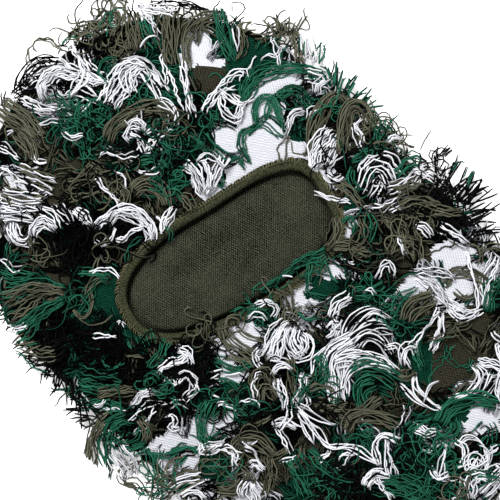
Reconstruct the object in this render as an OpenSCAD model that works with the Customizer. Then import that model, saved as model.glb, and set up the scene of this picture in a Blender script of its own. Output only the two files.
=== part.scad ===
// Fringed camouflage hood (a ghillie style balaclava), laid flat on its back with the face up.
// X runs across the hood, +Y runs to the crown and +Z points out of the face.
// The origin is on the surface that the hood lies on, at the middle of its bounding box.

/* [Hood] */
// Width of the knitted tube, laid flat
hood_w = 212; // [190:1:240]
// Length of the fabric from crown to neck hem
hood_len = 336; // [300:1:380]
// Height of the rounded crown
crown_h = 105; // [80:1:130]
// Head room between the two linings, in the middle
head_room = 9; // [7:0.5:14]

/* [Eye opening] */
// Length of the opening, inside its binding
eye_len = 118; // [100:1:124]
// Height of the opening, inside its binding
eye_h = 52; // [40:1:60]
// How much higher the opening is at its fuller end
eye_full = 2.5; // [0:0.5:4]
// Tilt of the opening's long axis, in degrees
eye_tilt = -17; // [-25:1:5]
// Distance from the crown's edge to the opening's centre
eye_drop = 142; // [130:1:155]
// Sideways shift of the opening from the hood's centre line
eye_shift = 3; // [-8:1:8]
// How far the back's lining puffs up under the opening
puff = 10; // [6:0.5:11]

/* [Fabric] */
// Thickness of the jacquard outer knit
outer_t = 1.6; // [1.2:0.1:2.2]
// Thickness of the jersey lining
lining_t = 1; // [0.7:0.1:1.4]
// Width of the rolled binding round the eye opening
binding_w = 7.5; // [6:0.5:9]
// How far the binding stands above the outer knit
binding_rise = 3; // [2:0.5:4]
// Distance between the overlock stitches on the binding
stitch_pitch = 2.5; // [2:0.1:4]
// Diameter of the overlocked side seam
seam_d = 3.4; // [3:0.1:4]
// Width of the flap that the neck hem folds inside
hem_w = 7; // [5:0.5:9]

/* [Fringe] */
// Depth of the cut yarns on the face side
front_pile = 9; // [6:0.5:12]
// Depth of the cut yarns that the hood lies on
back_pile = 6; // [5:0.5:8]
// How far the yarns hang past the fabric's edge
overhang = 12; // [8:1:16]
// Gap between neighbouring patches of fringe
patch_gap = 1.2; // [0.8:0.1:2]
// Depth of the grooves between the locks of yarn in one patch
groove = 1.6; // [0.5:0.1:3]

/* [Hidden] */

WHITE = "whitesmoke";
GREEN = "#0f4632";
OLIVE = "#4b4a3a";
BLACK = "#0c0d0d";

ease = 0.15;                            // clearance between neighbouring layers
wrap_t = 1.2;                           // cloth of the binding and the hem, folded over an edge
half_w = hood_w / 2;
crown_y = hood_len / 2;                 // crown's edge
hem_y = -hood_len / 2;                  // neck hem's edge
arch_y = crown_y - crown_h;             // where the straight sides end
eye_c = [eye_shift, crown_y - eye_drop];
eye_power = 2.5;                        // superellipse: 2 is an ellipse, more is squarer
full_turn = 32;                         // direction in which the opening is fuller, off its own axis
full_spread = 34;                       // angle over which that falls off
dome_share = 0.34;                      // share of the half width over which the dome rises

back_z = back_pile;                     // underside of the outer knit's back
lining_back_z = back_z + outer_t;
mouth_z = lining_back_z + lining_t;     // floor of the head room
lining_front_z = mouth_z + ease;        // at the side seam, before the dome
outer_front_z = lining_front_z + lining_t + ease;
face_z = outer_front_z + outer_t;       // top of the outer knit at the side seam
brow_z = face_z + head_room;            // top of the outer knit round the eye opening
cut_g = wrap_t + ease;                  // from the opening's edge back to the cloth's cut edge

// The outline is walked in steps: right side, crown, left side, then along the hem.
side_n = 18;
crown_n = 36;
hem_n = 24;
arc_n = 2 * side_n + crown_n;           // steps that the side seam runs over
outline_n = arc_n + hem_n;
sectors = 12;                           // fringe patches in one band
locks = outline_n / sectors;            // steps of the outline in one patch
ring_f = [0, 0.08, 0.18, 0.3, 0.42, 0.56, 0.74, 1];
puff_q = [0.72, 0.8, 0.88, 0.96, 1.04, 1.14, 1.24, 1.35];   // shares of the eye opening's size

function mix(a, b, t) = a + (b - a) * t;
function smooth(t) = let (u = max(0, min(1, t))) u * u * (3 - 2 * u);

// Point k of the fabric's outline, grown outward by g
function outline(k, g = 0) =
    let (w = half_w + g, j = k % outline_n)
    j < side_n
        ? [w, mix(hem_y - g, arch_y, j / side_n)]
    : j < side_n + crown_n
        ? let (a = 180 * (j - side_n) / crown_n) [w * cos(a), arch_y + (crown_h + g) * sin(a)]
    : j < arc_n
        ? [-w, mix(arch_y, hem_y - g, (j - side_n - crown_n) / side_n)]
    : [mix(-w, w, (j - arc_n) / hem_n), hem_y - g];

// Point of the eye opening's edge in direction a from its centre, grown outward by g
function eye_edge(a, g = 0) =
    let (
        b = a - eye_tilt,
        full = exp(-pow(((b - full_turn + 540) % 360 - 180) / full_spread, 2)),
        power = eye_power + 2 * full,
        r = 1 / pow(
            pow(abs(cos(b)) / (eye_len / 2 + g), power)
            + pow(abs(sin(b)) / (eye_h / 2 + eye_full * full + g), power),
            1 / power
        )
    )
    eye_c + r * [cos(a), sin(a)];
function bearing(p) = atan2(p[1] - eye_c[1], p[0] - eye_c[0]);

// Rise of the hood's front: 0 on the side seam and the crown, head_room in the middle
function inward(p) =
    1 - (p[1] > arch_y ? norm([p[0] / half_w, (p[1] - arch_y) / crown_h]) : abs(p[0]) / half_w);
function dome(p) = head_room * smooth(inward(p) / dome_share);

// Plan position at step k: f is 0 on the outline, 1 at the cloth's cut edge in the eye
// opening, and -1 at the tips of the yarns that hang over the outline
function plan(k, f) =
    let (p = outline(k))
    f < 0 ? mix(p, outline(k, overhang), -f) : mix(p, eye_edge(bearing(p), cut_g), f);
function across(k) = norm(plan(k, 1) - plan(k, 0));

// Rise at step k, straight between the rings as the cloth's facets are
function rise(k, f) = lookup(f, [for (r = ring_f) [r, dome(plan(k, r))]]);

// Point on the cloth's facets, u steps round the hood
function on_cloth(u, f) =
    let (k = floor(u), t = u - k, p = mix(plan(k, f), plan(k + 1, f), t))
    [p[0], p[1], mix(rise(k, f), rise(k + 1, f), t)];

// Two triangles of a face whose corners run a, b, c, d clockwise, seen from outside
function quad(a, b, c, d) = [[a, b, d], [b, c, d]];
function flat(lists) = [for (l = lists) each l];

// A domed sheet with the eye opening in it, from base up to base + t
module sheet(base, t) {
    last = len(ring_f) - 1;
    n = outline_n;
    points = [
        for (s = [0, 1]) for (f = ring_f) for (k = [0:n - 1])
            let (p = plan(k, f)) [p[0], p[1], base + dome(p) + s * t]
    ];
    function id(s, r, k) = (s * (last + 1) + r) * n + k % n;
    polyhedron(points, flat([
        for (k = [0:n - 1]) each concat(
            [for (r = [0:last - 1]) quad(id(1, r, k), id(1, r + 1, k), id(1, r + 1, k + 1), id(1, r, k + 1))],
            [for (r = [0:last - 1]) quad(id(0, r, k), id(0, r, k + 1), id(0, r + 1, k + 1), id(0, r + 1, k))],
            [quad(id(0, 0, k), id(1, 0, k), id(1, 0, k + 1), id(0, 0, k + 1))],
            [quad(id(1, last, k), id(0, last, k), id(0, last, k + 1), id(1, last, k + 1))]
        )
    ]), convexity = 6);
}

// A patch of fringe from step k0 on. Its rows give f at each step, from the yarns' roots out
// to their tips. Every second lock is lower and shorter, which leaves grooves and a ragged edge.
module patch(k0, rows, base, t) {
    last = len(rows) - 1;
    n = locks;
    points = [
        for (s = [0, 1]) for (j = [0:last]) for (i = [0:n])
            let (
                k = k0 + i,
                short = i % 2 == 1,
                f = short && j == last ? mix(rows[last](k), rows[last - 1](k), 0.25) : rows[j](k),
                inset = i == 0 ? 1 : i == n ? -1 : 0,
                u = inset == 0 ? k : k + inset * patch_gap / 2 / norm(plan(k + inset, f) - plan(k, f)),
                p = on_cloth(u, f)
            )
            [p[0], p[1], base + p[2] + s * (t - (short ? groove : 0))]
    ];
    function id(s, j, i) = (s * (last + 1) + j) * (n + 1) + i;
    polyhedron(points, flat(concat(
        [for (j = [0:last - 1]) for (i = [0:n - 1])
            quad(id(1, j + 1, i), id(1, j, i), id(1, j, i + 1), id(1, j + 1, i + 1))],
        [for (j = [0:last - 1]) for (i = [0:n - 1])
            quad(id(0, j + 1, i), id(0, j + 1, i + 1), id(0, j, i + 1), id(0, j, i))],
        [for (i = [0:n - 1]) quad(id(1, 0, i), id(0, 0, i), id(0, 0, i + 1), id(1, 0, i + 1))],
        [for (i = [0:n - 1]) quad(id(0, last, i), id(1, last, i), id(1, last, i + 1), id(0, last, i + 1))],
        [for (j = [0:last - 1]) quad(id(0, j, 0), id(1, j, 0), id(1, j + 1, 0), id(0, j + 1, 0))],
        [for (j = [0:last - 1]) quad(id(0, j + 1, n), id(1, j + 1, n), id(1, j, n), id(0, j, n))]
    )), convexity = 6);
}

// A ring of patches round the hood, one colour of the list at a time
module band(colours, name, turn, rows, t) {
    for (i = [0:len(colours) - 1])
        if (colours[i] == name)
            patch(i * locks + turn, rows, face_z + ease, t);
}

// A patch under the back, flat on both faces
module back_patch(k0, steps, f0, f1) {
    gap = patch_gap / 20;
    at = [for (i = [0:steps]) k0 + mix(gap, steps - gap, i / steps)];
    edge = [for (u = at) on_cloth(u, f0), for (i = [steps:-1:0]) on_cloth(at[i], f1)];
    linear_extrude(back_z - ease) polygon([for (p = edge) [p[0], p[1]]]);
}

module outer_front() {
    color(OLIVE) sheet(outer_front_z, outer_t);
}

module lining_front() {
    color(OLIVE) sheet(lining_front_z, lining_t);
}

module outer_back() {
    color(GREEN) translate([0, 0, back_z]) linear_extrude(outer_t)
        polygon([for (k = [0:outline_n - 1]) outline(k)]);
}

// The back's lining lies on the outer knit, and puffs up where the eye opening bares it
module lining_back() {
    n = outline_n;
    last = len(puff_q);
    q0 = puff_q[0];
    q1 = puff_q[last - 1];
    rises = [for (q = puff_q) puff * smooth((q1 - q) / (q1 - q0)), 0];
    points = [
        for (s = [0, 1]) for (r = [0:last]) for (k = [0:n - 1])
            let (
                edge = outline(k),
                p = r == last ? edge : mix(eye_c, eye_edge(bearing(edge)), puff_q[r])
            )
            [p[0], p[1], lining_back_z + rises[r] + s * lining_t]
    ];
    function id(s, r, k) = (s * (last + 1) + r) * n + k % n;
    color(OLIVE) polyhedron(points, concat(
        flat([
            for (k = [0:n - 1]) each concat(
                [for (r = [0:last - 1]) quad(id(1, r, k), id(1, r, k + 1), id(1, r + 1, k + 1), id(1, r + 1, k))],
                [for (r = [0:last - 1]) quad(id(0, r, k), id(0, r + 1, k), id(0, r + 1, k + 1), id(0, r, k + 1))],
                [quad(id(0, last, k), id(1, last, k), id(1, last, k + 1), id(0, last, k + 1))]
            )
        ]),
        [[for (k = [n - 1:-1:0]) id(1, 0, k)]],
        [[for (k = [0:n - 1]) id(0, 0, k)]]
    ), convexity = 6);
}

// A rounded band that wraps the front's two cut edges and rolls over the outer knit
module eye_binding() {
    low = lining_front_z + head_room;
    roll = brow_z + ease;
    top = brow_z + binding_rise;
    w = binding_w;
    section = [
        [0, low], [0, top - 1.5], [0.5, top - 0.5], [1.6, top], [w - 1.6, top],
        [w - 0.5, top - 0.5], [w, top - 1.5], [w - 0.4, roll], [wrap_t, roll], [wrap_t, low]
    ];
    m = len(section);
    n = 72;
    points = [
        for (i = [0:n - 1]) for (s = section)
            let (p = eye_edge(360 * i / n, s[0])) [p[0], p[1], s[1]]
    ];
    function id(i, j) = (i % n) * m + j % m;
    color(OLIVE) polyhedron(points, flat([
        for (i = [0:n - 1]) for (j = [0:m - 1])
            quad(id(i, j), id(i + 1, j), id(i + 1, j + 1), id(i, j + 1))
    ]), convexity = 6);
}

// Thread loops that bite over the binding's outer edge, evenly spaced along it
module eye_overlock_stitches() {
    d = 0.9;
    turn = 3;
    z = brow_z + binding_rise + d / 2;
    edge = [for (a = [0:turn:360]) eye_edge(a, binding_w)];
    run = [for (i = 0, s = 0; i < len(edge); i = i + 1, s = s + (i < len(edge) ? norm(edge[i] - edge[i - 1]) : 0)) s];
    turned = [for (i = [0:len(run) - 1]) [run[i], turn * i]];
    total = run[len(run) - 1];
    count = floor(total / stitch_pitch);
    color(OLIVE) for (i = [0:count - 1]) {
        a = lookup(total * i / count, turned);
        p = eye_edge(a, binding_w - 4.2);
        v = eye_edge(a, binding_w - 0.9) - p;
        translate([p[0], p[1], z]) rotate([0, 90, atan2(v[1], v[0])])
            cylinder(d = d, h = norm(v), $fn = 16);
    }
}

// The overlocked seam that joins front and back along the sides and over the crown
module side_seam() {
    n = 8;
    mid_z = (back_z + face_z) / 2;
    high = (face_z - back_z) / 2;
    points = [
        for (k = [0:arc_n]) for (i = [0:n - 1])
            let (
                a = 360 * i / n,
                p = outline(k, ease + seam_d / 2 * (1 + cos(a))),
                y = k == 0 || k == arc_n ? hem_y : p[1]
            )
            [p[0], y, mid_z + high * sin(a)]
    ];
    function id(k, i) = k * n + i % n;
    color(BLACK) polyhedron(points, concat(
        flat([
            for (k = [0:arc_n - 1]) for (i = [0:n - 1])
                quad(id(k, i), id(k, i + 1), id(k + 1, i + 1), id(k + 1, i))
        ]),
        [[for (i = [n - 1:-1:0]) id(0, i)]],
        [[for (i = [0:n - 1]) id(arc_n, i)]]
    ), convexity = 6);
}

// Points along the hem, from left to right, and the front's rise there
hem_x = [for (k = [arc_n:outline_n - 1]) outline(k)[0], half_w];
function hem_rise(x) = lookup(x, [for (h = hem_x) [h, dome([h, hem_y])]]);

// Points at a height z above the floor that follow the front's rise, from right to left
function over_hem(xs, z) = [for (i = [len(xs) - 1:-1:0]) [xs[i], z + hem_rise(xs[i])]];

// The band folded over the cut edges round the neck's mouth, with a flap inside on each face
module neck_hem() {
    y = hem_y - ease;
    xs = [for (x = hem_x) if (abs(x) < 0.88 * half_w) x];
    x0 = xs[0];
    x1 = xs[len(xs) - 1];
    flap_z = lining_front_z - 0.05;
    color(OLIVE) {
        translate([0, y, 0]) rotate([90, 0, 0]) linear_extrude(wrap_t) difference() {
            polygon(concat([[-half_w, back_z], [half_w, back_z]], over_hem(hem_x, face_z)));
            polygon(concat([[x0, mouth_z], [x1, mouth_z]], over_hem(xs, lining_front_z)));
        }
        translate([0, y + hem_w, 0]) rotate([90, 0, 0]) linear_extrude(hem_w + wrap_t)
            polygon(concat([for (x = xs) [x, flap_z - lining_t + hem_rise(x)]], over_hem(xs, flap_z)));
        translate([x0, y - wrap_t, mouth_z + 0.05]) cube([x1 - x0, hem_w + wrap_t, lining_t]);
    }
}

// A row of cover stitches on the hem's face
module neck_hem_stitches() {
    d = 0.8;
    y = hem_y - ease - wrap_t - d / 2;
    z = (lining_front_z + face_z) / 2;
    color(OLIVE) for (i = [0:len(hem_x) - 2]) for (t = [0.25, 0.75]) {
        x = mix(hem_x[i], hem_x[i + 1], t);
        slope = (hem_rise(hem_x[i + 1]) - hem_rise(hem_x[i])) / (hem_x[i + 1] - hem_x[i]);
        translate([x, y, z + hem_rise(x)]) rotate([0, 90 - atan(slope), 0])
            cylinder(d = d, h = 2.8, center = true, $fn = 16);
    }
}

// Rows of the fringe's bands, from roots to tips
function gap_f(k) = patch_gap / 2 / across(k);
function binding_f(k) =
    let (p = outline(k)) norm(eye_edge(bearing(p), binding_w + 0.6) - p) / across(k);
inner_rows = [function (k) binding_f(k), function (k) 0.74, function (k) 0.56 + gap_f(k)];
middle_rows = [function (k) 0.56 - gap_f(k), function (k) 0.42, function (k) 0.3 + gap_f(k)];
outer_rows = [function (k) 0.3 - gap_f(k), function (k) 0.18, function (k) 0.08 + gap_f(k)];
edge_rows = [function (k) 0.08 - gap_f(k), function (k) 0, function (k) -1];

// Colours of the fringe patches round each band, from the right end of the hem
FRONT_INNER = [
    "white", "white", "olive", "green", "white", "olive", "green", "black", "green", "white", "green", "olive"
];
FRONT_MIDDLE = [
    "green", "white", "olive", "black", "green", "white", "olive", "green", "black", "olive", "white", "green"
];
FRONT_OUTER = [
    "white", "olive", "green", "white", "black", "green", "white", "black", "white", "green", "olive", "black"
];
EDGE = [
    "green", "white", "olive", "black", "green", "olive", "green", "white", "black", "olive", "green", "white"
];
BACK_INNER = ["green", "olive", "white", "green", "black", "olive", "white", "green"];
BACK_OUTER = ["olive", "black", "green", "white", "olive", "green", "black", "white"];

module fringe_front(name, tint) {
    color(tint) {
        band(FRONT_OUTER, name, locks / 2, outer_rows, front_pile);
        band(FRONT_MIDDLE, name, 0, middle_rows, front_pile);
        band(FRONT_INNER, name, locks / 2, inner_rows, front_pile);
    }
}

// Yarns that hang past the side seam, the crown and the hem
module fringe_edge(name, tint) {
    color(tint) band(EDGE, name, 0, edge_rows, front_pile - groove);
}

module fringe_back(name, tint) {
    steps = outline_n / len(BACK_OUTER);
    color(tint) {
        for (i = [0:len(BACK_OUTER) - 1]) {
            if (BACK_OUTER[i] == name) back_patch(i * steps, steps, -0.3, 0.46);
            if (BACK_INNER[i] == name) back_patch((i + 0.5) * steps, steps, 0.48, 0.97);
        }
        if (name == "black")
            linear_extrude(back_z - ease) polygon([for (a = [0:6:354]) eye_edge(a, -1.5)]);
    }
}

outer_front();
outer_back();
lining_front();
lining_back();
eye_binding();
eye_overlock_stitches();
side_seam();
neck_hem();
neck_hem_stitches();
fringe_front("white", WHITE);  // fringe_front_white
fringe_front("green", GREEN);  // fringe_front_green
fringe_front("olive", OLIVE);  // fringe_front_olive
fringe_front("black", BLACK);  // fringe_front_black
fringe_edge("white", WHITE);  // fringe_edge_white
fringe_edge("green", GREEN);  // fringe_edge_green
fringe_edge("olive", OLIVE);  // fringe_edge_olive
fringe_edge("black", BLACK);  // fringe_edge_black
fringe_back("white", WHITE);  // fringe_back_white
fringe_back("green", GREEN);  // fringe_back_green
fringe_back("olive", OLIVE);  // fringe_back_olive
fringe_back("black", BLACK);  // fringe_back_black
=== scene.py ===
"""Distressed camouflage balaclava, laid flat and face up on a white floor.

Two layers of cloth, each of a front and a back panel, under a shaggy fringe of cut yarns.
Lengths are in millimetres until a mesh is built, when they become metres. The hood's own axes
are the part's: x across it, y from the neck to the crown, z up. The camera looks straight down
on it, turned, so tufts that are laid one by one have their places in the view's own axes:
u to the right and v up, from the point that the camera aims at.
"""

import math

import bpy
import numpy as np
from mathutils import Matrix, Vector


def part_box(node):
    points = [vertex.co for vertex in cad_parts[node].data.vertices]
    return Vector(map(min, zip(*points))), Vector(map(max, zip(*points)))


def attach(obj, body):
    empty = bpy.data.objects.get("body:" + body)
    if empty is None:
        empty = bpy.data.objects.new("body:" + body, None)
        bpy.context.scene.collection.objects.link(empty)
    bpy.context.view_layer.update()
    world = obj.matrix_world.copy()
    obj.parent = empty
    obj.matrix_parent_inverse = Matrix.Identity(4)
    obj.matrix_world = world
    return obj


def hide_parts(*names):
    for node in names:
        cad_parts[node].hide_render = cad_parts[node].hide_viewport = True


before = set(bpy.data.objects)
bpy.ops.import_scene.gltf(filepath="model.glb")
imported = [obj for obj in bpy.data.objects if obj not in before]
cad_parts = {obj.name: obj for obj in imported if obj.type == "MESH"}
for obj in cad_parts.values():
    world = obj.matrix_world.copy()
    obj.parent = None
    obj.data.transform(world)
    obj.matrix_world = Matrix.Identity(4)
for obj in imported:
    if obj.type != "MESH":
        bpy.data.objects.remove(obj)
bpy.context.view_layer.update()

# ---------------------------------------------------------------- sizes from the frame
MM = 0.001
COLOURS = ("white", "green", "olive", "black")
REGIONS = ("front", "edge", "back")


def node_box(name):
    """Lowest and highest corner of a CAD node, in millimetres."""
    low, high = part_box(name)
    return np.array(low) / MM, np.array(high) / MM


FRONT_LOW, FRONT_HIGH = node_box("outer_front")
BACK_LOW, BACK_HIGH = node_box("outer_back")

HALF_W = FRONT_HIGH[0]
HEM_Y = FRONT_LOW[1]
HEM_FOLD_Y = node_box("neck_hem")[0][1]   # the hem band's folded edge
CROWN_Y = FRONT_HIGH[1]
CROWN_H = 105.0                      # rise of the rounded crown over the straight sides
ARCH_Y = CROWN_Y - CROWN_H
BACK_Z = BACK_LOW[2]                 # underside of the back's outer knit
OUTER_T = BACK_HIGH[2] - BACK_Z
LINING_T = 1.0
LINING_BACK_Z = node_box("lining_back")[0][2]
LINING_FRONT_Z = node_box("lining_front")[0][2]
FRONT_Z = FRONT_LOW[2]
FACE_Z = FRONT_Z + OUTER_T           # top of the outer knit at the side seam
BROW_Z = FRONT_HIGH[2]               # top of the outer knit round the eye opening
HEAD_ROOM = BROW_Z - FACE_Z
DOME_SHARE = 0.34                    # share of the half width over which the front rises
LINING_TOP = LINING_BACK_Z + LINING_T
PUFF_RIM = 5.0                       # rise of the back's lining at the eye opening's edge
PUFF_LIP = 4.6                       # further rise just inside that edge, past a deep gap
PUFF_SWELL = 1.4                     # further rise at the opening's centre
PUFF_Q = 1.45                        # share of the eye opening where the rise begins
PILE = node_box("fringe_front_white")[1][2] - BROW_Z   # depth of the front's fringe

EYE = np.array([3.0, 26.0])
EYE_HALF = (59.0, 26.0)
EYE_TILT = math.radians(-17)
EYE_POWER = 2.5                      # superellipse: 2 is an ellipse, more is squarer
EYE_FULL = 2.5                       # how much higher the opening is towards its fuller end
FULL_TURN = math.radians(32)         # where that end is, from the opening's long axis
FULL_SPREAD = math.radians(34)
BINDING_W = 7.5
BINDING_TOP = node_box("eye_binding")[1][2]
CUT_G = 3.45                         # from the opening's edge back to the cloth's cut edge

VIEW_AT = np.array([14.0, 21.0])     # the point of the hood that the camera aims at
VIEW_TURN = math.radians(-46.2)
VIEW_WIDE = 275.0
VIEW_RIGHT = np.array([math.cos(VIEW_TURN), math.sin(VIEW_TURN)])
VIEW_UP = np.array([-math.sin(VIEW_TURN), math.cos(VIEW_TURN)])


def to_row(points):
    """Points of the view as points of the hood."""
    points = np.asarray(points, float)
    return VIEW_AT + points[..., :1] * VIEW_RIGHT + points[..., 1:] * VIEW_UP


def to_view(x, y):
    """Places on the hood as u and v of the view."""
    dx = x - VIEW_AT[0]
    dy = y - VIEW_AT[1]
    return dx * VIEW_RIGHT[0] + dy * VIEW_RIGHT[1], dx * VIEW_UP[0] + dy * VIEW_UP[1]


# ---------------------------------------------------------------- shape of the hood
def smooth(t):
    t = np.clip(t, 0.0, 1.0)
    return t * t * (3 - 2 * t)


def ripple(x, y, size, seed):
    """A smooth random field from about -1 to 1, whose bumps are about size across."""
    rng = np.random.default_rng(seed)
    total = 0.0
    for _ in range(7):
        turn = rng.uniform(0, 2 * math.pi)
        pace = math.pi / (size * rng.uniform(0.6, 1.5))
        total = total + np.sin(pace * (x * math.cos(turn) + y * math.sin(turn)) + rng.uniform(0, 6.3))
    return total / 3.5


def inward(x, y):
    """1 on the hood's middle line, 0 on its outline and negative outside."""
    tube = 1 - np.abs(x) / HALF_W
    crown = 1 - np.hypot(x / HALF_W, (y - ARCH_Y) / CROWN_H)
    return np.where(y > ARCH_Y, crown, tube)


def outside(x, y):
    """Distance past the outline, negative inside it."""
    return np.maximum(-inward(x, y) * HALF_W, HEM_Y - y)


def rise(x, y):
    """How far the front stands above its height at the side seam."""
    lie = 0.5 * ripple(x, y, 26, 11) * smooth(inward(x, y) / 0.12)
    return HEAD_ROOM * smooth(inward(x, y) / DOME_SHARE) + lie


def eye_local(x, y):
    """Places in the eye opening's own axes, from its centre."""
    dx = x - EYE[0]
    dy = y - EYE[1]
    c = math.cos(EYE_TILT)
    s = math.sin(EYE_TILT)
    return dx * c + dy * s, -dx * s + dy * c


def eye_reach(turn, g):
    """Distance from the eye opening's centre to its edge, grown outward by g, at a turn."""
    full = np.exp(-(((turn - FULL_TURN + math.pi) % (2 * math.pi) - math.pi) / FULL_SPREAD) ** 2)
    power = EYE_POWER + 2 * full
    along = np.abs(np.cos(turn)) / (EYE_HALF[0] + g)
    across = np.abs(np.sin(turn)) / (EYE_HALF[1] + EYE_FULL * full + g)
    return (along ** power + across ** power) ** (-1 / power)


def eye_point(turn, g=0.0):
    """Point of the eye opening's edge in direction turn from its centre, grown outward by g."""
    reach = eye_reach(turn - EYE_TILT, g)
    return EYE + np.stack([reach * np.cos(turn), reach * np.sin(turn)], -1)


def eye_share(x, y, g=0.0):
    """0 at the eye opening's centre, 1 on its edge grown outward by g, and more outside."""
    a, b = eye_local(x, y)
    return np.hypot(a, b) / eye_reach(np.arctan2(b, a), g)


def outline(count):
    """Points evenly spaced along the hood's outline, anticlockwise from the hem's right corner."""
    turn = np.linspace(0, math.pi, 200)
    hem = np.linspace(-HALF_W, HALF_W, 60)[1:]
    arc = np.stack([HALF_W * np.cos(turn), ARCH_Y + CROWN_H * np.sin(turn)], -1)
    low = np.stack([hem, np.full(len(hem), HEM_Y)], -1)
    path = np.concatenate([[[HALF_W, HEM_Y]], arc, [[-HALF_W, HEM_Y]], low])
    run = np.concatenate([[0], np.cumsum(np.hypot(*np.diff(path, axis=0).T))])
    at = np.arange(count) * run[-1] / count
    return np.stack([np.interp(at, run, path[:, i]) for i in (0, 1)], -1)


def ring_normals(points):
    """Outward unit normals of a closed ring that runs anticlockwise."""
    along = np.roll(points, -1, 0) - np.roll(points, 1, 0)
    along /= np.hypot(*along.T)[:, None]
    return np.stack([along[:, 1], -along[:, 0]], -1)


# ---------------------------------------------------------------- meshes
def signed_volume(points, triangles):
    a, b, c = (points[triangles[:, i]] for i in range(3))
    return np.einsum("ij,ij->i", a, np.cross(b, c)).sum() / 6


def build_mesh(name, points, quads, triangles=None):
    """A closed mesh object from points in millimetres, its faces turned to look outward."""
    triangles = np.empty((0, 3), int) if triangles is None else np.asarray(triangles, int)
    halves = np.concatenate([quads[:, [0, 1, 2]], quads[:, [0, 2, 3]], triangles])
    if signed_volume(points, halves) < 0:
        quads = quads[:, ::-1]
        triangles = triangles[:, ::-1]
    corners = np.concatenate([quads.ravel(), triangles.ravel()]).astype(np.int32)
    starts = np.concatenate([np.arange(len(quads)) * 4, len(quads) * 4 + np.arange(len(triangles)) * 3])
    mesh = bpy.data.meshes.new(name)
    mesh.vertices.add(len(points))
    mesh.vertices.foreach_set("co", (points * MM).astype(np.float32).ravel())
    mesh.loops.add(len(corners))
    mesh.loops.foreach_set("vertex_index", corners)
    mesh.polygons.add(len(starts))
    mesh.polygons.foreach_set("loop_start", starts.astype(np.int32))
    mesh.polygons.foreach_set("use_smooth", np.ones(len(starts), bool))
    mesh.update(calc_edges=True)
    mesh.validate()
    piece = bpy.data.objects.new(name, mesh)
    bpy.context.scene.collection.objects.link(piece)
    return piece


def ring_quads(rings, columns, closed):
    """Quads between successive rings of points, and from the last ring to the first if closed."""
    r = np.arange(rings if closed else rings - 1)[:, None]
    k = np.arange(columns)[None, :]
    after = (k + 1) % columns
    up = (r + 1) % rings
    corners = [r * columns + k, r * columns + after, up * columns + after, up * columns + k]
    return np.stack(corners, -1).reshape(-1, 4)


def fan(centre, ring_start, columns):
    k = np.arange(columns)
    return np.stack([np.full(columns, centre), ring_start + k, ring_start + (k + 1) % columns], -1)


def face_middles(piece):
    """Middles of a piece's faces, in millimetres."""
    middles = np.empty(len(piece.data.polygons) * 3, np.float32)
    piece.data.polygons.foreach_get("center", middles)
    return middles.reshape(-1, 3) / MM


def face_corners(mesh):
    """The vertex at each corner of each face."""
    corners = np.empty(len(mesh.loops), np.int32)
    mesh.loops.foreach_get("vertex_index", corners)
    return corners


def set_uvs(mesh, name, u, v):
    layer = mesh.uv_layers.new(name=name)
    layer.data.foreach_set("uv", np.stack([u, v], -1).astype(np.float32).ravel())


def set_tones(mesh, tones):
    layer = mesh.attributes.new("tone", "FLOAT", "POINT")
    layer.data.foreach_set("value", tones.astype(np.float32))


# ---------------------------------------------------------------- materials
def linear(rgb):
    """A colour given as on screen, 0 to 255, as the linear light that a shader takes."""
    shares = np.array(rgb, float) / 255
    return tuple(np.where(shares <= 0.04045, shares / 12.92, ((shares + 0.055) / 1.055) ** 2.4)) + (1.0,)


class Field:
    """A number that varies over a surface. Arithmetic on it adds nodes to its shader."""

    def __init__(self, shader, socket):
        self.shader = shader
        self.socket = socket

    def __add__(self, other):
        return self.shader.math("ADD", self, other)

    def __sub__(self, other):
        return self.shader.math("SUBTRACT", self, other)

    def __rsub__(self, other):
        return self.shader.math("SUBTRACT", other, self)

    def __mul__(self, other):
        return self.shader.math("MULTIPLY", self, other)

    def __truediv__(self, other):
        return self.shader.math("DIVIDE", self, other)

    __radd__ = __add__
    __rmul__ = __mul__


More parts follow.
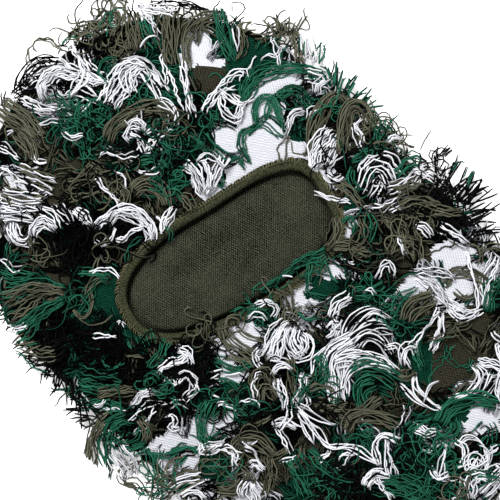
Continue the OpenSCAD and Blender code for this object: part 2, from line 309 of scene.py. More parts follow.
class Shader:
    """One material and short ways to add nodes to it."""

    def __init__(self, name, roughness=0.9, specular=0.05):
        self.material = bpy.data.materials.new(name)
        self.material.use_nodes = True
        self.nodes = self.material.node_tree.nodes
        self.links = self.material.node_tree.links
        self.surface = self.nodes["Principled BSDF"]
        self.surface.inputs["Roughness"].default_value = roughness
        self.surface.inputs["Specular IOR Level"].default_value = specular

    def put(self, value, socket):
        """Links a field or a node's output to an input, or sets the input to a constant."""
        if isinstance(value, Field):
            value = value.socket
        if isinstance(value, bpy.types.NodeSocket):
            self.links.new(value, socket)
        else:
            socket.default_value = value

    def add(self, kind, inputs=None, **settings):
        node = self.nodes.new(kind)
        for key, value in settings.items():
            setattr(node, key, value)
        for key, value in (inputs or {}).items():
            self.put(value, node.inputs[key])
        return node

    def math(self, operation, a, b=0.0):
        return Field(self, self.add("ShaderNodeMath", {0: a, 1: b}, operation=operation).outputs[0])

    def mix(self, share, a, b, blend="MIX"):
        """Colour a, or b where share is 1."""
        node = self.add("ShaderNodeMix", data_type="RGBA", blend_type=blend)
        for index, value in ((0, share), (6, a), (7, b)):
            self.put(value, node.inputs[index])
        return node.outputs[2]

    def place(self, turn=0.0):
        """The surface's place in millimetres, its axes turned about z."""
        where = self.add("ShaderNodeTexCoord").outputs["Object"]
        inputs = {"Vector": where, "Scale": (1 / MM,) * 3, "Rotation": (0, 0, turn)}
        return self.add("ShaderNodeMapping", inputs).outputs["Vector"]

    def parts(self, vector):
        return [Field(self, part) for part in self.add("ShaderNodeSeparateXYZ", {0: vector}).outputs]

    def noise(self, vector, size, detail=2.0):
        node = self.add("ShaderNodeTexNoise", {"Vector": vector, "Scale": 1 / size, "Detail": detail})
        return Field(self, node.outputs["Fac"])

    def colour(self, socket):
        self.put(socket, self.surface.inputs["Base Color"])

    def bump(self, height, depth):
        """Bump from a height of 0 to 1 that stands for depth millimetres."""
        node = self.add("ShaderNodeBump", {"Height": height, "Distance": depth * MM})
        self.put(node.outputs["Normal"], self.surface.inputs["Normal"])


def stitches(shader, turn, wale, course):
    """Height of a plain knit's face, from -1 to 1: small stitches in rows, each row half a stitch on."""
    place = shader.place(turn)
    x, y, _ = shader.parts(place)
    stray = shader.noise(place, 4.0) * 5.0
    across = shader.math("SINE", x * (2 * math.pi / wale) + stray)
    down = shader.math("SINE", y * (math.pi / course) + stray)
    return across * down


# Colours as on screen. Those of yarn, lining, binding and thread are its darkest and lightest.
KNIT_DYE = {
    "white": linear((195, 196, 202)),
    "green": linear((12, 54, 40)),
    "olive": linear((52, 50, 40)),
    "black": linear((3, 4, 4)),
}
YARN_DYE = {
    "white": (linear((52, 53, 59)), linear((212, 213, 218))),
    "green": (linear((1, 14, 10)), linear((38, 96, 74))),
    "olive": (linear((7, 8, 5)), linear((90, 90, 75))),
    "black": (linear((1, 1, 1)), linear((13, 14, 13))),
}
LINING_DYE = (linear((11, 13, 9)), linear((86, 87, 71)))
BINDING_DYE = (linear((14, 16, 10)), linear((70, 72, 52)))
THREAD_DYE = (linear((16, 17, 12)), linear((94, 92, 70)))


def knit_material():
    """Jacquard knit in four yarn colours, each stitch one colour."""
    shader = Shader("jacquard_knit", roughness=0.95, specular=0.02)
    dye = shader.add("ShaderNodeAttribute", attribute_name="dye").outputs["Color"]
    face = stitches(shader, 0.0, wale=1.6, course=1.3)
    worn = shader.noise(shader.place(), 5.0)
    speckle = shader.noise(shader.place(), 0.8)
    shade = face * -0.42 + worn * 0.4 + (speckle - 0.5) * 1.2 + 0.22
    bright = shader.parts(dye)[0]
    deep = shader.mix(0.95 - bright, dye, shader.mix(1.0, dye, dye, "MULTIPLY"))
    shader.colour(shader.mix(shade, dye, deep))
    shader.bump(face, 0.2)
    return shader.material


def jersey_material():
    """Olive jersey whose small stitches stand out most in broad patches that are also painted darker, as
    shade in place of soft creases.
    """
    shader = Shader("lining_jersey", roughness=0.95, specular=0.04)
    turn = math.radians(16)
    place = shader.place(turn)
    face = stitches(shader, turn, wale=1.4, course=1.15)
    speckle = shader.noise(place, 0.8)
    slub = shader.noise(place, 7.0)
    # broad noise: stronger stitch grain and painted crease shade where it is high
    grain_strength_and_painted_shade = shader.noise(place, 26.0, detail=1.0)
    grain = (face * 0.5 + speckle * 1.5 - 0.75) * (grain_strength_and_painted_shade + 0.3)
    tone = grain + slub * 0.25 + (0.5 - grain_strength_and_painted_shade) * 0.3 + 0.16
    shader.colour(shader.mix(tone, *LINING_DYE))
    shader.bump(face + speckle, 0.3)
    return shader.material


def rib_material():
    """The binding's speckled rib knit: its ridges run across the band, strongest at its outer side, and it
    is painted darker, as shade, from its outer slope down under its roll.
    """
    shader = Shader("binding_rib", roughness=0.9)
    along, across, _ = shader.parts(shader.add("ShaderNodeUVMap", uv_map="rib").outputs["UV"])
    ridge = shader.math("PINGPONG", along / 1.7, 0.5)
    outer = shader.math("MINIMUM", shader.math("MAXIMUM", (across - 5.0) * 0.35, 0.25), 1.6)
    # rim: painted shade, darker from the band's outer slope down under its roll
    rim = shader.math("MAXIMUM", (across - 8.0) * 0.4, 0.0)
    speckle = shader.noise(shader.place(), 0.75)
    tone = (ridge - 0.25) * outer + (speckle - 0.5) * 2.2 + 0.42 - rim
    shader.colour(shader.mix(tone, *BINDING_DYE))
    shader.bump(ridge + speckle * 0.6, 0.4)
    return shader.material


def twisted_material(name, dark, light):
    """Spun yarn or thread: its tone differs from strand to strand, and its plies twist round it. Its sides
    and underside are painted darker as shade, and a yarn's tone attribute also carries the painted shade
    of yarns that lie over it.
    """
    shader = Shader(name, roughness=0.92, specular=0.02)
    strand = Field(shader, shader.add("ShaderNodeAttribute", attribute_name="tone").outputs["Fac"])
    along, round_it, _ = shader.parts(shader.add("ShaderNodeUVMap", uv_map="yarn").outputs["UV"])
    ply = shader.math("PINGPONG", along / 1.6 + round_it * 2.0, 0.5)
    fuzz = shader.noise(shader.place(), 0.9)
    # painted shade: each yarn's sides and underside are darkened round its UV, and its top is a little
    # lightened
    upper = shader.math("SINE", round_it * (2 * math.pi))
    tone = strand + (fuzz - 0.5) * 0.35 + (ply - 0.25) * 0.5 + (upper - 0.9) * 0.5
    shader.colour(shader.mix(tone, dark, light))
    shader.bump(ply + fuzz, 0.12)
    return shader.material


MATERIALS = {
    "jacquard_knit": knit_material(),
    "lining_jersey": jersey_material(),
    "binding_rib": rib_material(),
    "thread": twisted_material("thread", *THREAD_DYE),
}
for colour in COLOURS:
    MATERIALS["yarn_" + colour] = twisted_material("yarn_" + colour, *YARN_DYE[colour])


def finish_piece(piece, slot, *nodes):
    """Gives a piece its material, named by slot, and its body, and hides the CAD nodes that it stands for.
    """
    piece.data.materials.append(MATERIALS[slot])
    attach(piece, "root")
    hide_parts(*nodes)
    return piece


# ---------------------------------------------------------------- camouflage
# Listed patches of the knit's camouflage: its colour is that of the nearest of these
# points of the view, over edges that wander.
PATCHES = {
    "white": [
        (-112, 98), (-100, 90), (-90, 101), (-98, 79), (-66, 95), (-28, 112), (-12, 62), (0, 78),
        (8, 58), (12, 78), (15, 94), (27, 88), (25, 51), (21, 100), (40, 94), (44, 55), (58, 72),
        (46, 38), (-10, 46), (-125, 24), (-128, 42), (-25, 34), (-13, 52), (2, -48), (-13, -50),
        (-12, -66), (-12, -91), (-45, -105), (-38, -118), (-26, -97), (-28, -133), (0, -134),
        (-70, -115), (22, -25), (35, -36), (43, -9), (54, 12), (88, -22), (105, -25), (118, -20),
        (112, -2), (126, -8), (136, -10), (126, -92), (104, -104), (137, -130), (20, -50), (50, -60),
        (102, 40),
    ],
    "green": [
        (-57, 115), (-79, 98), (-48, 92), (-60, 80), (-88, 72), (-100, 62), (-75, 62), (-50, 55),
        (-68, 48), (-45, 100), (-40, 85), (-28, 70), (-28, 55), (-40, 45), (-45, 35), (-8, 91),
        (-15, 122), (5, 112), (-4, 112), (8, 102), (20, 108), (36, 106), (32, 66), (48, 80), (58, 85),
        (82, 60), (90, 46), (60, 22), (66, 4), (-125, -20), (-88, -14), (-80, -28), (-92, -36),
        (-85, -65), (-90, -80), (-62, -48), (-70, -98), (-78, -110), (-22, -80), (-8, -80), (-20, -118),
        (8, -34), (40, -22), (60, -25), (70, -20), (32, -68), (68, -75), (25, -118), (40, -125),
        (42, -96), (60, -104), (88, -100), (80, -115), (90, -125), (95, -60), (85, -45), (118, -84),
        (105, -96), (105, -112), (118, -130), (135, -25),
    ],
    "olive": [
        (-72, 118), (-44, 122), (-62, 73), (-128, 72), (-118, 58), (-90, 47), (-108, 45), (-104, 32),
        (-72, 34), (-54, 29), (-118, -4), (-104, -15), (-75, -76), (-60, -126), (-45, -132), (-5, -112),
        (8, -120), (8, -62), (-20, 92), (27, 112), (38, 70), (53, 58), (68, 66), (48, 30), (52, 0),
        (60, 12), (92, 20), (86, 5), (80, 34), (80, -12), (48, -33), (92, -34), (108, -45), (105, -60),
        (115, -70), (124, -42), (132, -56), (46, -88), (62, -92), (82, -84), (30, -110), (-40, 62),
        (-35, 28), (45, -46),
    ],
    "black": [
        (-128, 92), (-86, 87), (-96, 108), (-82, 110), (-135, 55), (-112, 12), (-95, 22), (-88, 40),
        (-62, 14), (-90, 2), (-75, -3), (-130, -10), (-110, -40), (-100, -56), (-85, -52), (-68, -60),
        (-55, -65), (-45, -55), (-38, -70), (-42, -90), (-55, -98), (-26, -60), (0, -93), (12, -74),
        (22, -72), (28, -86), (20, -103), (38, -60), (70, -52), (66, 32), (72, 46), (56, 45), (60, -8),
        (72, 8), (112, 30), (104, 12), (28, 77), (-36, 78), (-15, 80), (-22, 44), (-52, 134),
        (65, -125), (130, -70), (122, -113),
    ],
}
OFF_VIEW_PATCH = 26                   # spacing of the patches that the view doesn't reach


def camouflage():
    """Points and colours of the whole hood's patches: those listed, and seeded ones around them."""
    rng = np.random.default_rng(5)
    points = [p for c in COLOURS for p in PATCHES[c]]
    kinds = [i for i, c in enumerate(COLOURS) for _ in PATCHES[c]]
    half = VIEW_WIDE / 2
    for x in np.arange(-HALF_W, HALF_W, OFF_VIEW_PATCH):
        for y in np.arange(HEM_Y, CROWN_Y, OFF_VIEW_PATCH):
            u, v = to_view(*(np.array([x, y]) + rng.uniform(0, OFF_VIEW_PATCH, 2)))
            if abs(u) > half + 8 or abs(v) > half + 8:
                points.append((u, v))
                kinds.append(rng.choice(4, p=(0.24, 0.32, 0.24, 0.2)))
    return np.array(points, float), np.array(kinds)


PATCH_POINTS, PATCH_KINDS = camouflage()


def camo_at(x, y):
    """Index in COLOURS of the knit's colour at each place on the hood."""
    u, v = to_view(x, y)
    u = u + 3.0 * ripple(u, v, 9, 21)
    v = v + 3.0 * ripple(u, v, 9, 22)
    nearest = np.full(np.shape(u), np.inf)
    kind = np.zeros(np.shape(u), int)
    for point, index in zip(PATCH_POINTS, PATCH_KINDS):
        gap = (u - point[0]) ** 2 + (v - point[1]) ** 2
        closer = gap < nearest
        nearest = np.where(closer, gap, nearest)
        kind = np.where(closer, index, kind)
    return kind


def dye(piece, kinds):
    """Colours each face of a piece of knit."""
    table = np.array([KNIT_DYE[c] for c in COLOURS], np.float32)
    layer = piece.data.color_attributes.new("dye", "FLOAT_COLOR", "CORNER")
    totals = np.empty(len(piece.data.polygons), np.int32)
    piece.data.polygons.foreach_get("loop_total", totals)
    layer.data.foreach_set("color", np.repeat(table[kinds], totals, 0).ravel())


# ---------------------------------------------------------------- cloth
def sheet_with_eye(name, base, thick, columns, top_rings, under_rings):
    """A domed front panel with the eye opening cut in it, from base up to base + thick."""
    edge = outline(columns)
    cut = eye_point(np.arctan2(edge[:, 1] - EYE[1], edge[:, 0] - EYE[0]), CUT_G)
    rings = []
    for share in np.linspace(1, 0, top_rings):
        p = edge + (cut - edge) * share
        rings.append(np.column_stack([p, base + thick + rise(*p.T)]))
    for share in np.linspace(0, 1, under_rings):
        p = edge + (cut - edge) * share
        rings.append(np.column_stack([p, base + rise(*p.T)]))
    points = np.concatenate(rings)
    return build_mesh(name, points, ring_quads(len(rings), columns, closed=True))


def disc_sheet(name, columns, shares, top, under):
    """A panel with no hole: rings from its middle out to the outline on top, and back underneath."""
    edge = outline(columns)
    middle = EYE
    rings = []
    for surface, order in ((top, shares), (under, shares[::-1])):
        for share in order:
            p = middle + (edge - middle) * share
            rings.append(np.column_stack([p, surface(*p.T)]))
    centre = np.array([[*middle, float(top(*middle))], [*middle, float(under(*middle))]])
    points = np.concatenate(rings + [centre])
    count = len(rings) * columns
    last = (len(rings) - 1) * columns
    caps = np.concatenate([fan(count, 0, columns)[:, ::-1], fan(count + 1, last, columns)])
    return build_mesh(name, points, ring_quads(len(rings), columns, closed=False), caps)


# Soft creases of the lining in the eye opening: middle, half length, half width, heading, height
CREASES = [
    ((-30, -10), 26, 6.0, 40, -1.7),
    ((6, 2), 26, 7.0, 75, -1.9),
    ((26, -4), 18, 6.0, 60, -1.5),
    ((22, 14), 20, 6.0, 35, 0.9),
    ((-46, -26), 18, 6.0, 10, 0.9),
    ((-18, 8), 22, 5.0, 30, 0.9),
]


def puffed(x, y):
    """Top of the back's lining, which puffs up into the eye opening in soft creases."""
    share = eye_share(x, y)
    z = LINING_TOP + PUFF_RIM * smooth((PUFF_Q - share) / (PUFF_Q - 1))
    z = z + PUFF_LIP * smooth((1.05 - share) / 0.08) + PUFF_SWELL * smooth((1.0 - share) / 0.4)
    u, v = to_view(x, y)
    for (u0, v0), long, wide, heading, height in CREASES:
        c = math.cos(math.radians(heading))
        s = math.sin(math.radians(heading))
        along = ((u - u0) * c + (v - v0) * s) / long
        across = ((v - v0) * c - (u - u0) * s) / wide
        z = z + height * np.exp(-along ** 2 - across ** 2)
    return z + 0.3 * ripple(x, y, 12, 31) * smooth((1.1 - share) / 0.3)


def make_cloth():
    """The four panels, from the bottom up."""
    even = np.linspace(0.03, 1, 24)
    fine = np.concatenate([np.linspace(0.01, 0.5, 70), np.linspace(0.51, 1, 24)])

    def back_top(x, y):
        return BACK_Z + OUTER_T + 0 * x

    def back_under(x, y):
        return BACK_Z + 0 * x

    def lining_under(x, y):
        return puffed(x, y) - LINING_T

    knit_back = disc_sheet("knit_back", 280, even, back_top, back_under)
    jersey_back = disc_sheet("jersey_back", 280, fine, puffed, lining_under)
    jersey_front = sheet_with_eye("jersey_front", LINING_FRONT_Z, LINING_T, 280, 24, 8)
    knit_front = sheet_with_eye("knit_front", FRONT_Z, OUTER_T, 440, 84, 8)
    for piece in (knit_back, knit_front):
        middles = face_middles(piece)
        dye(piece, camo_at(middles[:, 0], middles[:, 1]))
    finish_piece(knit_back, "jacquard_knit", "outer_back")
    finish_piece(jersey_back, "lining_jersey", "lining_back")
    finish_piece(jersey_front, "lining_jersey", "lining_front")
    finish_piece(knit_front, "jacquard_knit", "outer_front")
    return knit_back, jersey_back, jersey_front, knit_front


# ---------------------------------------------------------------- binding
def make_binding():
    """The rolled rib band round the eye opening, slightly puckered along its length."""
    columns = 1200
    low = LINING_FRONT_Z + HEAD_ROOM
    roll = BROW_Z + 0.15
    top = BINDING_TOP
    w = BINDING_W
    section = [
        (2.6, low), (2.1, low + 2.2), (1.8, top - 1.9), (2.1, top - 0.9), (2.8, top - 0.3), (3.7, top),
        (4.6, top), (5.6, top - 0.2), (6.4, top - 0.6), (7.0, top - 1.2), (w, top - 2.0), (w - 0.2, roll),
        (4.6, roll - 0.4), (3.4, roll - 0.6), (3.3, low),
    ]
    turn = np.linspace(0, 2 * math.pi, 4000, endpoint=False)
    fine = eye_point(turn)
    steps = np.hypot(*(np.roll(fine, -1, 0) - fine).T)
    run = np.concatenate([[0], np.cumsum(steps)])
    length = run[-1]
    at = np.interp(np.arange(columns) * length / columns, run, np.append(turn, 2 * math.pi))
    edge = eye_point(at)
    pucker = ripple(edge[:, 0], edge[:, 1], 9, 41)
    rings = []
    for g, z in section:
        high = (z - low) / (top - low)
        out = g * (1 + 0.06 * pucker) + 0.3 * pucker * (high > 0.9)
        p = eye_point(at, 0) + (eye_point(at, w) - eye_point(at, 0)) * (out / w)[:, None]
        rings.append(np.column_stack([p, z + 0.3 * pucker * high]))
    piece = build_mesh("binding", np.concatenate(rings), ring_quads(len(rings), columns, closed=True))
    corners = face_corners(piece.data)
    along = (corners % columns).reshape(-1, 4)
    joins = along.max(1) - along.min(1) > 1
    along[joins] = np.where(along[joins] == 0, columns, along[joins])
    set_uvs(piece.data, "rib", along.ravel() * length / columns, corners // columns)
    return finish_piece(piece, "binding_rib", "eye_binding")


# ---------------------------------------------------------------- yarns
def resample(points, spacing=1.0):
    """A smooth curve through points, as points evenly spaced along it."""
    points = np.asarray(points, float)
    if len(points) > 2:
        ends = np.concatenate([[2 * points[0] - points[1]], points, [2 * points[-1] - points[-2]]])
        t = np.linspace(0, 1, 12, endpoint=False)[:, None]
        legs = []
        for a, b, c, d in zip(ends, ends[1:], ends[2:], ends[3:]):
            bend = (2 * b) + (c - a) * t + (2 * a - 5 * b + 4 * c - d) * t ** 2
            legs.append((bend + (3 * b - 3 * c + d - a) * t ** 3) / 2)
        points = np.concatenate(legs + [points[-1:]])
    run = np.concatenate([[0], np.cumsum(np.linalg.norm(np.diff(points, axis=0), axis=1))])
    count = max(4, int(round(run[-1] / spacing)) + 1)
    at = np.linspace(0, run[-1], count)
    return np.stack([np.interp(at, run, points[:, i]) for i in range(points.shape[1])], -1)


def side_ways(line):
    """Unit vectors square to a plan line."""
    along = np.gradient(line, axis=0)
    along /= np.maximum(np.hypot(*along.T), 1e-6)[:, None]
    return np.stack([-along[:, 1], along[:, 0]], -1)


class Pile:
    """A height map that yarns are laid on one after another, so later ones ride over earlier ones."""

    REACH = (140, 205)

    def __init__(self):
        xs = np.arange(-self.REACH[0], self.REACH[0] + 1.0)
        ys = np.arange(-self.REACH[1], self.REACH[1] + 1.0)
        x, y = np.meshgrid(xs, ys, indexing="ij")
        self.ground = self.lie(x, y)
        self.top = self.ground.copy()

    @staticmethod
    def lie(x, y):
        """What the yarns lie on: the cloth, the binding, and past the outline a slope to the floor."""
        past = outside(x, y)
        slope = 0.4 + (FACE_Z - 0.4) * np.exp(-(np.maximum(past - 3, 0) / 8) ** 2)
        z = np.where(past < 0, FACE_Z + rise(x, y), slope)
        band = (eye_share(x, y, BINDING_W) < 1) & (eye_share(x, y) >= 1)
        z = np.where(band, BINDING_TOP, z)
        return np.where(eye_share(x, y) < 1, puffed(x, y), z)

    def cells(self, line):
        i = np.clip(np.rint(line[:, 0]).astype(int) + self.REACH[0], 0, 2 * self.REACH[0])
        j = np.clip(np.rint(line[:, 1]).astype(int) + self.REACH[1], 0, 2 * self.REACH[1])
        return i, j

    def lay(self, line, radius, lift):
        """Heights along a plan line for a yarn that lies on what is there, and then is part of it."""
        cells = self.cells(line)
        ground = self.ground[cells]
        z = np.minimum(self.top[cells], ground + PILE - 1.5)
        for _ in range(4):
            z[1:-1] = np.maximum(z[1:-1], (z[:-2] + z[2:]) / 2)
        for _ in range(3):
            z[1:-1] = (z[:-2] + 2 * z[1:-1] + z[2:]) / 4
        z = z + radius + lift
        self.top[cells] = np.maximum(self.top[cells], z - lift + 0.35 * radius)
        return z, ground


class Fringe:
    """Every cut yarn of the hood, kept by region and colour until the meshes are built."""

    RADIUS = {"white": 0.45, "green": 0.4, "olive": 0.43, "black": 0.38}
    MORE = 1.12                          # yarns laid for each that a tuft asks for
    LIMIT = (132, 194)                   # the farthest that a yarn may lie from the middle, in x and y

    def __init__(self, seed):
        self.rng = np.random.default_rng(seed)
        self.pile = Pile()
        self.yarns = {(r, c): [] for r in REGIONS for c in COLOURS}

    def keep(self, region, colour, points, radius, tone):
        self.yarns[region, colour].append((points, radius, tone))

    def yarn(self, colour, line, region="front", tone=0.75, rooted=(True, False), thick=1.0, arch=0.0):
        """Lays one yarn along a plan line. Rooted ends go down into the knit, and the others are tips."""
        rng = self.rng
        past = (np.abs(line) > self.LIMIT).any(1)
        if past.any():
            line = line[:int(np.argmax(past))]
        if len(line) < 4:
            return
        radius = self.RADIUS[colour] * thick * rng.uniform(0.88, 1.12)
        share = np.linspace(0, 1, len(line))
        lift = arch * np.sin(math.pi * share)
        if not rooted[1]:
            lift = lift + rng.uniform(0, 1.6) * smooth((share - 0.6) / 0.4)
        z, ground = self.pile.lay(line, radius, lift)
        mm = np.arange(len(line), dtype=float)
        for end, depth in zip(rooted, (mm, mm[::-1])):
            if end:
                sunk = smooth(depth / 4)
                z = z * sunk + (ground - 0.3) * (1 - sunk)
        z = np.maximum(z, radius)
        shade = tone + rng.normal(0, 0.2) + rng.uniform(0.05, 0.25) * np.sin(mm / rng.uniform(2, 6) + tone)
        self.keep(region, colour, np.column_stack([line, z]), radius, shade)

    def crimped(self, line, crimp, phase=None):
        """A plan line with the waves that a yarn keeps from the knit, and a slower wander."""
        rng = self.rng
        mm = np.arange(len(line), dtype=float)
        phase = rng.uniform(0, 6.3) if phase is None else phase
        wave = crimp * np.sin(2 * math.pi * mm / rng.uniform(6, 8) + phase + rng.normal(0, 1.0))
        kink = 0.35 * crimp * np.sin(2 * math.pi * mm / rng.uniform(3.2, 4.4) + rng.uniform(0, 6.3))
        slow = rng.uniform(0.4, 1.5) * np.sin(2 * math.pi * mm / rng.uniform(20, 40) + rng.uniform(0, 6.3))
        ends = smooth(mm / 8)
        return line + side_ways(line) * (wave + kink + slow * ends)[:, None]

    def strip(self, colours, count, widths, path, region="front", tone=0.8, crimp=0.45, thick=1.0,
              loop=False):
        """A tuft of yarns side by side along a path, with its width at start, middle and end."""
        rng = self.rng
        line = to_row(resample(path))
        share = np.linspace(0, 1, len(line))
        width = np.interp(share, (0, 0.5, 1), widths)
        sides = side_ways(line)
        phase = rng.uniform(0, 6.3)
        names = colours.split()
        count = round(count * self.MORE)
        order = rng.permutation(count)
        arch = 1.2 if loop else 0.0
        for i in order:
            across = (i + 0.5 + rng.normal(0, 0.45)) / count - 0.5
            first = int(rng.uniform(0, 0.06) * len(line))
            last = len(line) - int(rng.uniform(0, 0.12) * len(line))
            own = (line + sides * (across * width)[:, None])[first:last]
            if len(own) < 5:
                continue
            own = self.crimped(own, crimp * rng.uniform(0.4, 1.3), phase)
            name = names[i % len(names)]
            self.yarn(name, own, region, tone, rooted=(True, loop), thick=thick, arch=arch)

    def tangle(self, colours, count, radius, centre, length=(14, 30), curl=5.0, tone=0.75, thick=1.0):
        """Curly yarns that wind about inside a circle of the view."""
        rng = self.rng
        names = colours.split()
        for i in range(round(count * self.MORE)):
            at = np.array(centre, float) + rng.normal(0, radius * 0.5, 2)
            heading = rng.uniform(0, 2 * math.pi)
            bend = rng.choice((-1, 1)) / rng.uniform(curl, 5.0 * curl)
            steps = int(rng.uniform(*length) * min(1, 0.3 + radius / 8))
            path = [at]
            for _ in range(steps):
                home = np.array(centre) - at
                if np.hypot(*home) > radius:
                    aim = math.atan2(home[1], home[0])
                    heading += 0.25 * math.sin(aim - heading)
                bend = np.clip(bend + rng.normal(0, 0.04), -0.32, 0.32)
                if rng.random() < 0.06:
                    bend = -0.7 * bend
                heading += bend
                at = at + (math.cos(heading), math.sin(heading))
                path.append(at)
            line = to_row(np.array(path))
            self.yarn(names[i % len(names)], line, tone=tone, thick=thick,
                      rooted=(rng.random() < 0.7, False))

    def shade(self):
        """Paints shade into each yarn of the front and the edges, dimming its tone where others lie over
        it.
        """
        for (region, _), yarns in self.yarns.items():
            for points, _, tone in yarns:
                if region != "back":
                    over = self.pile.top[self.pile.cells(points)] - points[:, 2]
                    tone -= 0.28 * np.clip(over - 0.3, 0, 4)

    def spikes(self, colours, count, length, start, end, headings, spread=14, region="edge", thick=1.2):
        """Nearly straight yarns that stick out from a line of roots, both laid in the view."""
        rng = self.rng
        names = colours.split()
        for i in range(count):
            share = (i + rng.uniform(0, 1)) / count
            root = np.array(start) + (np.array(end) - np.array(start)) * share
            heading = math.radians(
                headings[0] + (headings[1] - headings[0]) * share + rng.normal(0, spread)
            )
            reach = length * rng.uniform(0.6, 1.2)
            steps = np.arange(int(reach) + 1)
            bend = rng.normal(0, 0.02)
            turns = heading + bend * steps
            path = root + np.cumsum(np.stack([np.cos(turns), np.sin(turns)], -1), 0)
            self.yarn(names[i % len(names)], to_row(path), region, 0.7, thick=thick)


# Stretches of bare knit: middle, half length, half width and heading in the view
BARE = [
    (-28, 112, 17, 9, 75), (-20, 92, 12, 9, 80), (-10, 63, 12, 6, 0), (1, 79, 14, 5, 75),
    (15, 94, 13, 5, 25), (8, 57, 13, 10, 10), (9, 106, 13, 9, -20), (26, 51, 8, 5, -20),
    (12, 78, 8, 8, 0), (5, 113, 9, 7, 0), (21, 100, 4, 4, 0), (47, 38, 6, 3, -40), (55, 11, 6, 5, 70),
    (43, -9, 10, 6, 80), (23, -25, 12, 6, -50), (35, -37, 5, 3, 0), (-80, -28, 9, 8, 0),
    (-104, -15, 8, 4, 0), (-104, 33, 6, 4, 0), (-13, -52, 8, 7, 0), (3, -47, 7, 5, 0),
    (-12, -65, 9, 5, -35), (-9, -74, 5, 3, 0), (-12, -92, 6, 4, 40), (-45, -105, 13, 5, -10),
    (-38, -119, 14, 7, 20), (-26, -98, 6, 7, 0), (-20, -118, 6, 7, 0), (-70, -115, 9, 6, -30),
    (88, -21, 8, 6, 30), (100, 0, 8, 8, 0), (112, -3, 16, 7, -15), (126, -8, 8, 5, 0),
    (117, -21, 8, 6, 0), (104, -25, 6, 5, 0), (125, -92, 13, 8, 5), (104, -104, 6, 4, 0),
    (123, -41, 8, 4, 10), (-4, -135, 8, 5, 0), (106, -62, 17, 11, 40),
]


def is_bare(u, v):
    found = np.zeros(np.shape(u), bool)
    for u0, v0, long, wide, heading in BARE:
        c = math.cos(math.radians(heading))
        s = math.sin(math.radians(heading))
        along = ((u - u0) * c + (v - v0) * s) / long
        across = ((v - v0) * c - (u - u0) * s) / wide
        found |= along ** 2 + across ** 2 < 1
    return found


# How often a short lock of each colour grows on knit of each colour
MIX = {
    "white": (0.50, 0.12, 0.10, 0.28),
    "green": (0.04, 0.66, 0.08, 0.22),
    "olive": (0.04, 0.08, 0.64, 0.24),
    "black": (0.03, 0.14, 0.12, 0.71),
}
LOCK_SPACING = 6.8


def lay_locks(fringe):
    """Short locks all over the front, in the knit's colours, with the dark ones lowest."""
    rng = fringe.rng
    spots = []
    for x in np.arange(-HALF_W + 3, HALF_W - 3, LOCK_SPACING):
        for y in np.arange(HEM_Y + 3, CROWN_Y - 2, LOCK_SPACING):
            spots.append(np.array([x, y]) + rng.uniform(0, LOCK_SPACING, 2))
    spots = np.array(spots)
    spots = spots[inward(*spots.T) > 0.015]
    kinds = camo_at(*spots.T)
    picks = np.array([rng.choice(4, p=MIX[COLOURS[k]]) for k in kinds])
    order = np.lexsort((rng.random(len(spots)), picks != 3))
    for spot, pick in zip(spots[order], picks[order]):
        u, v = to_view(*spot)
        field = 2.4 * float(ripple(u, v, 34, 61)) + rng.normal(0, 0.45)
        length = rng.uniform(12, 26)
        bend = rng.normal(0, 0.035)
        steps = np.arange(int(length))
        turns = field + bend * steps
        line = spot + np.cumsum(np.stack([np.cos(turns), np.sin(turns)], -1), 0)
        line = line - line.mean(0) + spot
        sides = side_ways(line)
        count = rng.integers(4, 6)
        wide = count * rng.uniform(0.9, 1.3)
        phase = rng.uniform(0, 6.3)
        lu, lv = to_view(*line.T)
        if is_bare(lu, lv).mean() > 0.25:
            continue
        a, b = eye_local(*line.T)
        band = eye_share(*line.T, BINDING_W) < 1
        if band.mean() > (0.35 if (b.mean() < -8 and a.mean() > -12) else 0.04):
            continue
        for i in range(count):
            across = ((i + 0.5) / count - 0.5) * wide
            own = fringe.crimped(line + sides * across, 0.45, phase)
            # low tones: painted shade that darkens the locks lying under the tufts, picked at random from
            # 0.1 to 0.55
            fringe.yarn(COLOURS[pick], own, tone=rng.uniform(0.1, 0.55))


EDGE_ROOTS = 640         # places round the outline where yarns may hang
EDGE_SHARE = 0.8         # the share of them that is used
BACK_YARNS = 900         # tried over the back's box, kept where the cloth is


def lay_edges(fringe):
    """Yarns that hang over the side seam, the crown and the hem, down to the floor."""
    rng = fringe.rng
    ring = outline(EDGE_ROOTS)
    normals = ring_normals(ring)
    kinds = camo_at(*(ring - normals * 6).T)
    for k in rng.permutation(len(ring))[: int(len(ring) * EDGE_SHARE)]:
        pick = rng.choice(4, p=MIX[COLOURS[kinds[k]]])
        heading = math.atan2(normals[k][1], normals[k][0]) + rng.normal(0, 0.8)
        start = ring[k] - normals[k] * rng.uniform(1, 9)
        bend = rng.normal(0, 0.09)
        for _ in range(2):
            steps = np.arange(int(rng.uniform(9, 21)))
            turns = heading + rng.normal(0, 0.15) + bend * steps
            strides = np.stack([np.cos(turns), np.sin(turns)], -1)
            line = start + rng.normal(0, 1.2, 2) + np.cumsum(strides, 0)
            fringe.yarn(COLOURS[pick], fringe.crimped(line, 0.45), "edge",
                        rng.uniform(0.15, 0.65), thick=1.2)


